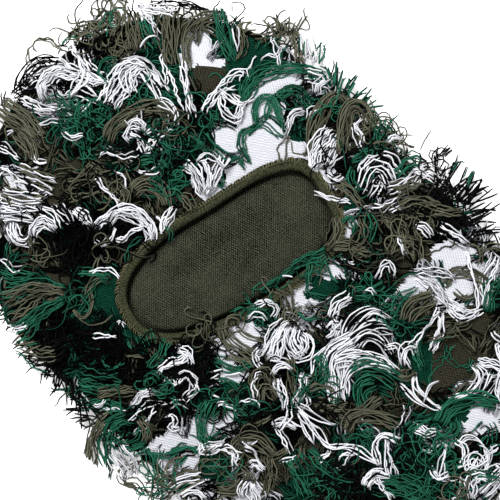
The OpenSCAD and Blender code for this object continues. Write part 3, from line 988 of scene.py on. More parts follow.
def lay_back(fringe):
    """The fringe under the back, pressed flat between the knit and the floor."""
    rng = fringe.rng
    for _ in range(BACK_YARNS):
        x = rng.uniform(-HALF_W, HALF_W)
        y = rng.uniform(HEM_Y, CROWN_Y)
        if inward(x, y) < 0.02:
            continue
        pick = rng.choice(4, p=MIX[COLOURS[int(camo_at(x, y))]])
        heading = 2.4 * float(ripple(x, y, 34, 62)) + rng.normal(0, 0.6)
        steps = np.arange(int(rng.uniform(16, 34)))
        turns = heading + rng.normal(0, 0.03) * steps
        line = np.array([x, y]) + np.cumsum(np.stack([np.cos(turns), np.sin(turns)], -1), 0)
        share = np.linspace(0, 1, len(line))
        radius = fringe.RADIUS[COLOURS[pick]]
        low = rng.uniform(radius, BACK_Z - 3 * radius)
        z = BACK_Z - 0.2 - (BACK_Z - 0.2 - low) * smooth(share * 3)
        z = np.minimum(z, BACK_Z - 0.1)
        points = np.column_stack([fringe.crimped(line, 0.4), z])
        fringe.keep("back", COLOURS[pick], points, radius, np.full(len(line), rng.uniform(0.3, 0.8)))


# ---------------------------------------------------------------- tufts laid one by one
def lay_crown_tufts(f):
    """The crown's left: a black and white fan, a white squiggle, and olive and green tangles."""
    f.strip("olive", 2, (1, 2, 1),
            [(-104, 110), (-110, 115), (-118, 116), (-124, 109), (-122, 102)], "edge", loop=True)
    f.strip("olive", 1, (1, 1, 1),
            [(-101, 112), (-108, 112), (-112, 116), (-120, 114), (-118, 110)], "edge", loop=True)
    f.strip("black", 8, (6, 9, 3), [(-128, 87), (-124, 97), (-116, 104), (-105, 104)], crimp=0.1)
    f.strip("black", 7, (7, 7, 5), [(-131, 84), (-120, 90), (-108, 90)], crimp=0.2)
    f.strip("white black", 9, (8, 8, 4), [(-123, 91), (-114, 97), (-104, 101)], tone=0.9)
    f.tangle("black", 16, 9, (-90, 88))
    f.tangle("black", 14, 8, (-92, 106))
    f.strip("white", 11, (3, 9, 2),
            [(-112, 81), (-114, 90), (-107, 98), (-98, 97), (-88, 93), (-75, 92)], tone=0.95)
    f.strip("white black", 11, (11, 10, 4), [(-99, 90), (-91, 87), (-83, 83)], tone=0.95, crimp=0.1)
    f.strip("white", 5, (4, 5, 3),
            [(-101, 82), (-95, 89), (-90, 96), (-93, 104), (-98, 112), (-100, 118)], tone=1)
    f.strip("white", 4, (4, 5, 3), [(-92, 112), (-91, 105), (-86, 99), (-80, 94)], tone=1)
    f.strip("white", 4, (3, 4, 3), [(-97, 97), (-103, 104), (-109, 109)], tone=0.95)
    f.strip("white", 6, (5, 5, 4), [(-128, 84), (-118, 80), (-106, 77), (-96, 76), (-88, 82)], tone=0.9)
    f.strip("green", 3, (3, 4, 3), [(-114, 80), (-106, 84), (-100, 79), (-90, 77)])
    f.strip("green", 2, (2, 2, 2), [(-104, 112), (-100, 117), (-90, 118), (-84, 117)])
    f.tangle("black olive", 8, 5, (-98, 120))

    f.tangle("olive", 40, 12, (-73, 117), curl=3.5, thick=1.15)
    f.tangle("black", 6, 8, (-76, 112), thick=1.2)
    f.tangle("olive", 12, 5, (-84, 126), curl=2.5)
    f.tangle("green", 5, 3, (-78, 128), curl=2.5)
    f.strip("olive", 10, (9, 10, 8), [(-66, 131), (-65, 121), (-62, 109)], crimp=0.2)
    f.strip("green", 7, (8, 7, 5), [(-58, 130), (-56, 121), (-50, 110)])
    f.strip("black", 3, (2, 2, 2), [(-62, 135), (-50, 137), (-36, 135)])
    f.strip("white", 7, (4, 6, 5), [(-62, 135), (-52, 133), (-41, 129)], tone=0.85)
    f.strip("white", 3, (4, 3, 2), [(-60, 131), (-55, 126), (-50, 118)])
    f.strip("white", 2, (1, 2, 1), [(-61, 108), (-58, 113), (-52, 118), (-49, 114)], tone=1, loop=True)
    f.strip("white", 2, (1, 1, 1), [(-47, 111), (-49, 104), (-46, 97), (-44, 86)], tone=0.95)
    f.strip("olive", 12, (10, 12, 10), [(-43, 134), (-45, 119), (-42, 101)], crimp=0.2)

    f.strip("green", 7, (5, 7, 5), [(-70, 104), (-80, 100), (-76, 91)])
    f.strip("green", 9, (6, 9, 6), [(-58, 95), (-48, 86), (-40, 80)])
    f.strip("green", 8, (7, 8, 5), [(-87, 86), (-78, 82), (-66, 84), (-58, 78)])
    f.tangle("green black", 26, 9, (-56, 83))
    f.strip("white", 15, (4, 15, 12), [(-56, 103), (-66, 98), (-72, 88), (-78, 78)], tone=0.95)
    f.strip("white", 6, (4, 8, 5), [(-56, 103), (-66, 95), (-64, 84)], tone=0.9)
    f.strip("white", 5, (5, 6, 3), [(-72, 102), (-60, 104), (-53, 98), (-47, 88)], tone=0.9)
    f.strip("white", 4, (3, 4, 4), [(-61, 99), (-55, 92), (-49, 80), (-44, 66)], tone=1, crimp=0.1)
    f.strip("white", 4, (3, 5, 2),
            [(-53, 82), (-44, 79), (-40, 73), (-42, 65)], tone=1, crimp=0.1, loop=True)
    f.strip("white", 1, (1, 1, 1), [(-62, 62), (-50, 64), (-40, 65)], tone=1)
    f.strip("green white", 3, (3, 4, 3), [(-58, 100), (-55, 95), (-57, 90)])

    f.tangle("green", 44, 12, (-92, 67), curl=4)
    f.tangle("green black", 26, 9, (-76, 66), curl=4)
    f.strip("olive", 13, (6, 9, 8), [(-78, 57), (-73, 68), (-62, 75), (-50, 77), (-42, 73)], crimp=0.1)
    f.tangle("black", 14, 7, (-58, 60))
    f.spikes("white", 13, 11, (-60, 61), (-56, 63), (0, 340), 20, "front", 1.15)
    f.strip("white", 3, (2, 4, 2), [(-67, 65), (-64, 70), (-58, 68), (-57, 62)], tone=1, loop=True)
    f.strip("white", 3, (2, 4, 2), [(-65, 57), (-68, 63), (-62, 67), (-56, 64)], tone=0.95, loop=True)
    f.strip("white", 2, (2, 3, 2), [(-58, 55), (-54, 60), (-48, 63), (-41, 64)], tone=1)
    f.strip("white", 3, (3, 3, 2), [(-67, 66), (-60, 60), (-57, 53), (-50, 60), (-46, 64)], tone=1)
    f.strip("white", 2, (1, 2, 1), [(-84, 50), (-79, 53), (-70, 51), (-60, 53)], tone=0.95)
    f.strip("white", 3, (2, 3, 2), [(-103, 66), (-98, 61), (-91, 62)], tone=0.9)
    f.strip("white", 2, (2, 2, 1), [(-118, 67), (-110, 70), (-104, 70)], tone=0.85)


def lay_left_tufts(f):
    """The left: olive and striped tufts, white curls over black, and the tassel that points left."""
    f.strip("olive", 17, (14, 15, 10), [(-139, 80), (-126, 72), (-115, 60)], crimp=0.3)
    f.strip("olive", 10, (10, 9, 6), [(-130, 66), (-122, 58), (-118, 48)], crimp=0.3)
    f.strip("white black", 7, (8, 7, 4), [(-139, 58), (-132, 55), (-126, 50)], tone=0.95)
    f.strip("white", 3, (2, 3, 2), [(-119, 54), (-117, 48), (-110, 47)], tone=0.9)
    f.strip("white", 3, (3, 3, 3), [(-139, 46), (-131, 42), (-127, 34)], tone=0.95)
    f.strip("white olive", 11, (11, 11, 8), [(-130, 44), (-119, 40), (-106, 35)], tone=0.95, crimp=0.2)
    f.strip("black", 4, (3, 3, 2), [(-126, 40), (-121, 38), (-120, 30)])
    f.strip("white olive", 10, (9, 9, 7), [(-139, 32), (-126, 28), (-112, 27)], tone=0.95, crimp=0.2)
    f.strip("white", 10, (9, 9, 7), [(-139, 20), (-130, 20), (-116, 18)], tone=0.9, crimp=0.2)
    f.tangle("black", 18, 8, (-112, 8))
    f.tangle("black", 14, 7, (-98, 22), curl=3)
    f.strip("white", 9, (7, 7, 4), [(-131, 16), (-128, 7), (-122, 5), (-119, 10)], tone=1, loop=True)
    f.strip("white", 9, (3, 7, 5), [(-119, 5), (-118, 12), (-112, 15), (-104, 9)], tone=1, loop=True)
    f.strip("white", 4, (4, 4, 3), [(-116, 23), (-107, 19), (-103, 12)], tone=0.95)
    f.strip("white black", 7, (7, 7, 5), [(-106, 26), (-101, 20), (-97, 14)], tone=0.9)
    f.strip("white", 6, (4, 6, 3), [(-97, 24), (-91, 17), (-86, 12)], tone=1)

    f.strip("olive", 7, (5, 7, 5), [(-102, 34), (-92, 38), (-84, 46)])
    f.strip("olive", 6, (5, 6, 5), [(-88, 50), (-78, 41), (-75, 28)])
    f.strip("olive", 3, (3, 3, 3), [(-101, 26), (-92, 28), (-82, 32)])
    f.tangle("black olive", 24, 10, (-86, 36))
    f.strip("white", 3, (2, 3, 2), [(-84, 42), (-80, 35), (-74, 29), (-70, 23)], tone=1)
    f.strip("white", 2, (2, 2, 1), [(-76, 43), (-69, 40), (-66, 34)], tone=0.95)
    f.tangle("olive black", 16, 7, (-66, 44))
    f.strip("olive", 9, (9, 10, 7), [(-66, 30), (-58, 36), (-49, 32), (-45, 23)], crimp=0.1)
    f.strip("olive", 6, (6, 6, 4), [(-74, 36), (-68, 30), (-70, 22)])
    f.tangle("green", 14, 6, (-45, 38))
    f.strip("green", 5, (5, 5, 3), [(-62, 48), (-52, 50), (-46, 44)])
    f.strip("white", 2, (1, 2, 2), [(-63, 44), (-57, 42), (-50, 44)], tone=0.9)
    f.tangle("black", 22, 8, (-66, 9))
    f.strip("white", 8, (4, 6, 4),
            [(-87, 10), (-80, 17), (-71, 22), (-61, 20), (-53, 12), (-54, 5)], tone=1, loop=True)
    f.strip("white", 7, (4, 6, 4), [(-78, 12), (-72, 19), (-62, 18), (-56, 10), (-55, 5)], tone=1)
    f.strip("white", 4, (3, 4, 3), [(-75, 9), (-70, 5), (-64, 10), (-58, 12)], tone=0.95)
    f.strip("white", 3, (3, 4, 2), [(-86, 9), (-84, 4), (-78, 4), (-72, 12)], tone=0.95)
    f.strip("white", 3, (2, 3, 2), [(-53, 20), (-49, 15), (-49, 9)], tone=0.95)
    f.strip("white", 6, (4, 5, 3), [(-48, 11), (-45, 17), (-41, 23)], tone=1)

    f.tangle("black", 60, 16, (-92, -2), tone=0.5)
    f.tangle("black", 40, 12, (-104, -44), tone=0.5)
    f.tangle("black", 40, 12, (-82, -53), tone=0.5)
    f.tangle("olive", 10, 5, (-80, 0), tone=0.4)
    f.tangle("olive", 10, 5, (-118, -4), tone=0.5)
    f.strip("white", 2, (1, 2, 2), [(-139, -5), (-134, -6), (-130, -10), (-125, -8)], tone=0.9)
    f.strip("green", 5, (7, 6, 4), [(-139, -12), (-128, -15), (-118, -14)])
    f.strip("green", 9, (3, 8, 9), [(-97, -22), (-115, -20), (-137, -23)], "edge", crimp=0.5)
    f.strip("olive", 15, (3, 15, 24), [(-98, -23), (-114, -24), (-134, -34)], "edge", crimp=0.5)
    f.strip("green", 11, (3, 8, 15), [(-98, -25), (-112, -33), (-128, -47)], "edge", crimp=0.4)
    f.strip("white", 4, (3, 5, 5), [(-120, -40), (-127, -43), (-134, -43)], "edge", tone=0.85)
    f.strip("olive", 4, (4, 5, 4), [(-93, -32), (-88, -20), (-80, -14), (-73, -18)], crimp=0.2, loop=True)
    f.strip("olive", 3, (2, 3, 2), [(-98, -30), (-92, -37), (-88, -31), (-88, -20)], crimp=0.2)
    f.strip("olive", 1, (1, 1, 1), [(-98, -34), (-90, -40), (-80, -38), (-74, -35)])
    f.strip("green", 6, (5, 6, 5), [(-96, -12), (-86, -12), (-76, -15)])
    f.tangle("green", 12, 5, (-94, -30), tone=0.5)
    f.strip("white", 2, (2, 2, 1), [(-90, -14), (-82, -10), (-75, -11), (-72, -16)], tone=1)
    f.strip("white", 2, (2, 2, 2), [(-88, -46), (-80, -47), (-72, -47)], tone=0.95)
    f.strip("white", 2, (2, 2, 2), [(-74, -42), (-71, -39), (-68, -41)], tone=0.95)
    f.strip("green", 2, (1, 2, 1), [(-68, -9), (-66, 2), (-58, 8)])
    f.strip("green", 2, (1, 2, 2), [(-48, 14), (-44, 10), (-44, 4)])


def lay_top_tufts(f):
    """Above the eye opening: white knit between loops of green and white, and an olive band."""
    f.strip("black", 5, (4, 4, 3), [(-40, 137), (-30, 134), (-22, 131)])
    f.strip("olive", 6, (4, 6, 4), [(-13, 129), (-25, 129), (-35, 117), (-34, 98)], crimp=0.1)
    f.strip("olive", 4, (3, 4, 3), [(-17, 131), (-27, 122), (-29, 112)], crimp=0.1)
    f.strip("olive", 4, (3, 4, 3),
            [(-15, 116), (-20, 119), (-26, 123), (-20, 126), (-14, 124)], loop=True, crimp=0.1)
    f.strip("white", 5, (4, 5, 4), [(-37, 106), (-35, 93), (-33, 80), (-31, 72)], tone=0.95)
    f.strip("white", 2, (2, 2, 1), [(-45, 100), (-41, 92), (-40, 84), (-36, 76)], tone=0.95)
    f.strip("green", 10, (6, 7, 4), [(-18, 134), (-15, 119), (-8, 103)], crimp=0.2)
    f.strip("olive", 4, (3, 4, 3), [(-7, 126), (-4, 114), (-7, 104)])
    f.strip("white black", 3, (2, 3, 2), [(-9, 125), (-7, 117), (-7, 109)])
    f.strip("olive", 1, (1, 1, 1),
            [(-10, 131), (-9, 136), (-4, 135), (-5, 129), (-9, 124)], "edge", loop=True)
    f.strip("olive", 1, (1, 1, 1), [(-30, 104), (-26, 96), (-23, 86)])
    f.strip("green", 3, (3, 3, 2), [(-31, 72), (-26, 76), (-18, 74), (-14, 80)])
    f.tangle("green black", 16, 5, (-22, 74))

    f.tangle("black green", 18, 6, (-12, 82))
    f.strip("white", 4, (3, 4, 3), [(-27, 73), (-21, 83), (-11, 94), (-4, 97), (-4, 92)], tone=1)
    f.strip("white", 3, (2, 3, 2), [(-23, 76), (-15, 86), (-8, 88)], tone=1)
    f.strip("white", 4, (3, 5, 3),
            [(-17, 86), (-13, 75), (-7, 71), (-5, 79), (-10, 87)], tone=1, loop=True)
    f.strip("white", 3, (2, 3, 2), [(-18, 88), (-11, 82), (-3, 80)], tone=1)
    f.strip("white", 3, (2, 3, 2), [(-8, 70), (-3, 79), (2, 84)], tone=0.95)
    f.strip("green", 12, (6, 10, 6), [(-5, 78), (0, 91), (10, 98), (24, 100), (34, 98)])
    f.strip("white", 2, (2, 2, 1), [(16, 99), (14, 107), (12, 117)], tone=1)
    f.strip("white", 2, (1, 2, 1), [(6, 104), (10, 108), (14, 106), (17, 111)], tone=0.95)
    f.strip("white", 2, (1, 2, 1), [(-3, 97), (1, 101), (4, 106)], tone=0.95)
    f.strip("green", 5, (3, 5, 3), [(3, 67), (4, 79), (9, 84), (15, 80), (18, 64)], crimp=0.15, loop=True)
    f.strip("green", 4, (3, 5, 3), [(1, 65), (9, 73), (17, 68)], crimp=0.1)
    f.strip("green", 3, (2, 3, 2), [(-2, 62), (8, 68), (18, 61)], crimp=0.1)
    f.strip("green", 4, (3, 4, 2), [(8, 71), (14, 84), (24, 88)], crimp=0.2)
    f.strip("green", 5, (3, 5, 2), [(4, 68), (-4, 63), (-4, 54), (0, 47)])
    f.strip("green", 8, (6, 7, 5), [(14, 83), (25, 88), (36, 79)])
    f.tangle("green black", 20, 6, (30, 76))
    f.strip("white", 5, (4, 5, 3), [(20, 66), (24, 74), (30, 76)], tone=0.95)
    f.strip("white", 3, (2, 3, 2), [(18, 60), (21, 66), (20, 72)], tone=0.9)
    f.strip("white green", 9, (9, 9, 8), [(28, 97), (37, 96), (45, 91)], tone=0.95)
    f.strip("white", 6, (4, 6, 4), [(35, 84), (38, 91), (44, 94)], tone=0.95)
    f.strip("white", 3, (2, 3, 2), [(32, 70), (33, 76), (38, 79)], tone=0.95)
    f.strip("olive", 2, (2, 4, 2), [(18, 48), (18, 57), (22, 62)])
    f.strip("olive", 1, (1, 1, 1), [(21, 60), (26, 53), (33, 54)])

    f.strip("olive", 11, (7, 9, 7), [(32, 50), (36, 68), (43, 82), (51, 87)], crimp=0.15)
    f.strip("olive", 8, (6, 6, 5), [(49, 88), (55, 76), (52, 62)], crimp=0.15)
    f.tangle("green", 12, 4, (48, 79))
    f.strip("white", 14, (3, 14, 13), [(35, 43), (38, 54), (47, 64)], tone=1)
    f.strip("white", 7, (9, 9, 4), [(52, 64), (47, 54), (42, 45)], tone=0.9)
    f.tangle("black", 10, 4, (47, 47))
    f.strip("white", 5, (3, 5, 3), [(40, 42), (46, 38), (51, 40)], tone=0.95)
    f.strip("white", 3, (2, 3, 2), [(35, 32), (45, 28), (55, 27)], tone=1)

    f.strip("green", 5, (5, 4, 4), [(-34, 60), (-27, 58), (-22, 50)])
    f.strip("green", 3, (2, 3, 2), [(-26, 66), (-22, 60), (-14, 52), (-9, 50)])
    f.strip("green", 4, (3, 4, 3), [(-15, 47), (-8, 51), (-3, 44)])
    f.strip("green", 2, (2, 2, 2), [(-16, 50), (-15, 42), (-16, 34)])
    f.tangle("black green", 14, 6, (-35, 52))
    f.strip("white", 7, (7, 7, 3), [(-38, 48), (-30, 43), (-25, 29)], tone=1)
    f.strip("white", 7, (9, 7, 3), [(-12, 53), (-18, 42), (-25, 30)], tone=1)
    f.strip("white", 6, (7, 7, 4), [(-29, 50), (-24, 42), (-23, 31)], tone=1)
    f.strip("white", 3, (2, 3, 2), [(-31, 47), (-23, 52), (-14, 45)], tone=0.95)
    f.strip("olive", 5, (4, 5, 3), [(-40, 30), (-34, 28), (-31, 22)])
    f.tangle("green black", 24, 8, (-44, 57), tone=0.5)
    f.tangle("olive green", 18, 6, (-42, 66), tone=0.6)


def lay_right_tufts(f):
    """The right edge: curls, striped arches, the black spikes, and loops over white knit."""
    f.tangle("olive", 20, 5, (14, 123), length=(10, 18), curl=3)
    f.spikes("olive", 9, 12, (12, 117), (26, 118), (120, 70), 18)
    f.strip("olive", 8, (5, 6, 3), [(22, 122), (26, 115), (27, 103)])
    f.strip("olive", 1, (1, 1, 1), [(24, 123), (31, 121), (34, 123), (29, 131), (31, 136)], "edge")
    f.strip("green", 2, (1, 1, 1), [(18, 100), (17, 108), (21, 112)])
    f.spikes("green white", 10, 13, (27, 107), (40, 101), (95, 80), 14)
    f.strip("green", 2, (1, 1, 1), [(38, 103), (42, 108), (41, 114)], "edge")
    f.spikes("green", 8, 15, (43, 88), (48, 87), (92, 80), 5, thick=1.5)
    f.spikes("green", 20, 12, (49, 86), (60, 76), (80, 15), 14, thick=1.5)
    f.spikes("black", 8, 9, (52, 82), (62, 74), (60, 20), 14, thick=1.3)
    f.strip("olive", 12, (7, 8, 6),
            [(51, 50), (51, 70), (58, 79), (66, 70), (62, 60)], crimp=0.15, loop=True)
    f.tangle("olive", 14, 5, (68, 66), curl=3.5)
    f.strip("white", 4, (3, 4, 3), [(55, 72), (59, 63), (63, 54)], tone=1)
    f.strip("white", 2, (2, 2, 2), [(60, 62), (58, 68), (61, 72)], tone=0.9)
    f.strip("olive", 1, (1, 1, 1), [(67, 72), (71, 72), (72, 68)])
    f.strip("black", 9, (9, 10, 6), [(50, 47), (60, 52), (72, 58)])
    f.strip("green", 9, (6, 7, 4), [(54, 45), (66, 54), (73, 69)])
    f.strip("green", 2, (2, 2, 1), [(74, 57), (77, 69), (82, 76)], "edge")
    f.strip("green", 2, (2, 2, 1), [(70, 56), (73, 66), (75, 73)], "edge")
    f.tangle("green olive", 16, 6, (80, 58), curl=3.5)
    f.strip("white", 3, (2, 3, 2), [(73, 58), (80, 62), (85, 61)], tone=0.9)
    f.strip("green", 1, (1, 1, 1), [(84, 53), (89, 56), (95, 55)], "edge")
    f.strip("olive", 1, (1, 1, 1), [(94, 54), (100, 66), (101, 70), (94, 72)], "edge", crimp=0)
    f.strip("olive", 2, (2, 2, 2), [(78, 57), (86, 59), (91, 57)], "edge")

    f.tangle("black", 26, 9, (72, 44))
    f.tangle("black green", 22, 8, (56, 38))
    f.strip("white", 3, (3, 4, 3), [(70, 53), (77, 51), (84, 42)], tone=1, loop=True)
    f.strip("white", 3, (2, 3, 2), [(72, 50), (77, 45), (85, 42)], tone=0.95)
    f.strip("white", 4, (4, 5, 3), [(60, 40), (63, 48), (70, 52)], tone=0.95)
    f.strip("white black", 15, (13, 15, 13), [(62, 29), (66, 38), (70, 42), (76, 35)], tone=1, crimp=0.1)
    f.strip("white black", 7, (5, 7, 4), [(64, 23), (72, 24), (82, 31), (90, 38)], tone=1)
    f.strip("green", 9, (6, 9, 6), [(78, 39), (89, 48), (98, 46)])
    f.strip("white olive", 10, (7, 9, 5), [(74, 32), (86, 37), (97, 44), (106, 40)], tone=0.95)
    f.strip("white", 5, (4, 5, 4), [(88, 44), (98, 41), (108, 37)], tone=0.9)
    f.strip("olive", 6, (5, 6, 5), [(78, 30), (88, 34), (98, 34)])
    f.strip("green", 4, (4, 4, 3), [(56, 48), (55, 38), (60, 32)])
    f.strip("olive", 5, (4, 5, 3), [(46, 38), (54, 32), (62, 24)])
    f.strip("white", 2, (2, 2, 1), [(74, 20), (82, 23), (88, 29), (95, 27)], tone=1)

    f.tangle("black", 44, 10, (108, 24), curl=9, length=(14, 26), thick=1.3)
    f.tangle("black", 7, 6, (102, 44), curl=5, thick=1.2)
    f.spikes("black", 17, 20, (100, 34), (120, 24), (80, 40), 14, thick=1.35)
    f.spikes("black", 14, 18, (114, 28), (122, 14), (55, 15), 12, thick=1.35)
    f.spikes("black", 9, 20, (116, 12), (120, 4), (25, -5), 8, thick=1.35)
    f.spikes("black", 4, 12, (100, 50), (108, 52), (60, 30), 20)
    f.strip("black", 1, (1, 1, 1), [(108, 52), (113, 56), (121, 62)], "edge")
    f.strip("green", 2, (1, 2, 1), [(110, 42), (115, 48), (122, 49)], "edge")
    f.strip("green", 1, (1, 1, 1), [(117, 38), (121, 47), (123, 55)], "edge")
    f.strip("green", 2, (1, 2, 2), [(120, 33), (122, 39), (127, 45)], "edge")
    f.tangle("olive", 24, 9, (92, 20), curl=5)
    f.tangle("black", 10, 8, (94, 14), thick=1.2)
    f.strip("olive", 5, (5, 6, 4), [(80, 24), (92, 27), (104, 24)])
    f.strip("olive", 6, (5, 5, 3), [(98, 22), (108, 21), (117, 21)])
    f.strip("white black", 9, (9, 9, 5), [(103, 14), (110, 10), (120, 3)], tone=0.95)
    f.tangle("olive", 9, 6, (84, 8), curl=5)
    f.strip("white", 4, (4, 4, 3), [(89, 14), (95, 12), (99, 7)], tone=0.95)
    f.strip("olive", 2, (2, 2, 2), [(88, 13), (93, 3), (94, -8)])
    f.strip("olive", 1, (1, 1, 1), [(92, -3), (102, 1), (114, 3)])
    f.strip("olive", 2, (1, 1, 1), [(119, 5), (126, -1), (127, -9)])
    f.strip("olive", 3, (3, 4, 3), [(124, -3), (131, 2), (139, 1)])
    f.strip("white", 9, (5, 8, 7), [(128, -33), (129, -18), (136, -3)], tone=0.95)
    f.strip("green", 6, (5, 6, 5), [(139, -14), (132, -22), (131, -34)])
    f.strip("olive", 6, (5, 8, 6), [(106, -20), (112, -13), (121, -12), (129, -18)], crimp=0.1)
    f.strip("olive", 3, (3, 3, 3), [(111, -22), (117, -27), (123, -24), (123, -18)], crimp=0.1)
    f.strip("white", 2, (2, 2, 1), [(118, 1), (121, -9), (123, -20), (125, -33)], tone=1)
    f.strip("white", 4, (4, 4, 2), [(87, -12), (100, -12), (106, -13), (113, -17)], tone=0.95)
    f.strip("white", 5, (3, 5, 3), [(89, -14), (99, -19), (108, -28), (118, -34)], tone=0.95)
    f.strip("white", 3, (2, 3, 2), [(99, -18), (104, -22), (107, -33)], tone=1)
    f.strip("white", 6, (4, 6, 4), [(107, -30), (116, -36), (127, -33)], tone=0.95)
    f.strip("green", 4, (5, 6, 4), [(80, -38), (83, -27), (92, -21)], crimp=0.1)
    f.strip("olive", 10, (8, 10, 9), [(84, -41), (89, -31), (101, -25)], crimp=0.15)
    f.strip("white", 3, (2, 3, 2), [(104, -29), (97, -41), (88, -53)], tone=1)
    f.strip("white", 5, (4, 4, 2), [(104, -34), (103, -45), (99, -56)], tone=0.9)
    f.strip("olive", 4, (6, 5, 4), [(122, -38), (110, -45), (102, -55)], tone=0.5)
    f.strip("olive", 4, (5, 5, 4), [(110, -40), (116, -50), (122, -56)], tone=0.5)


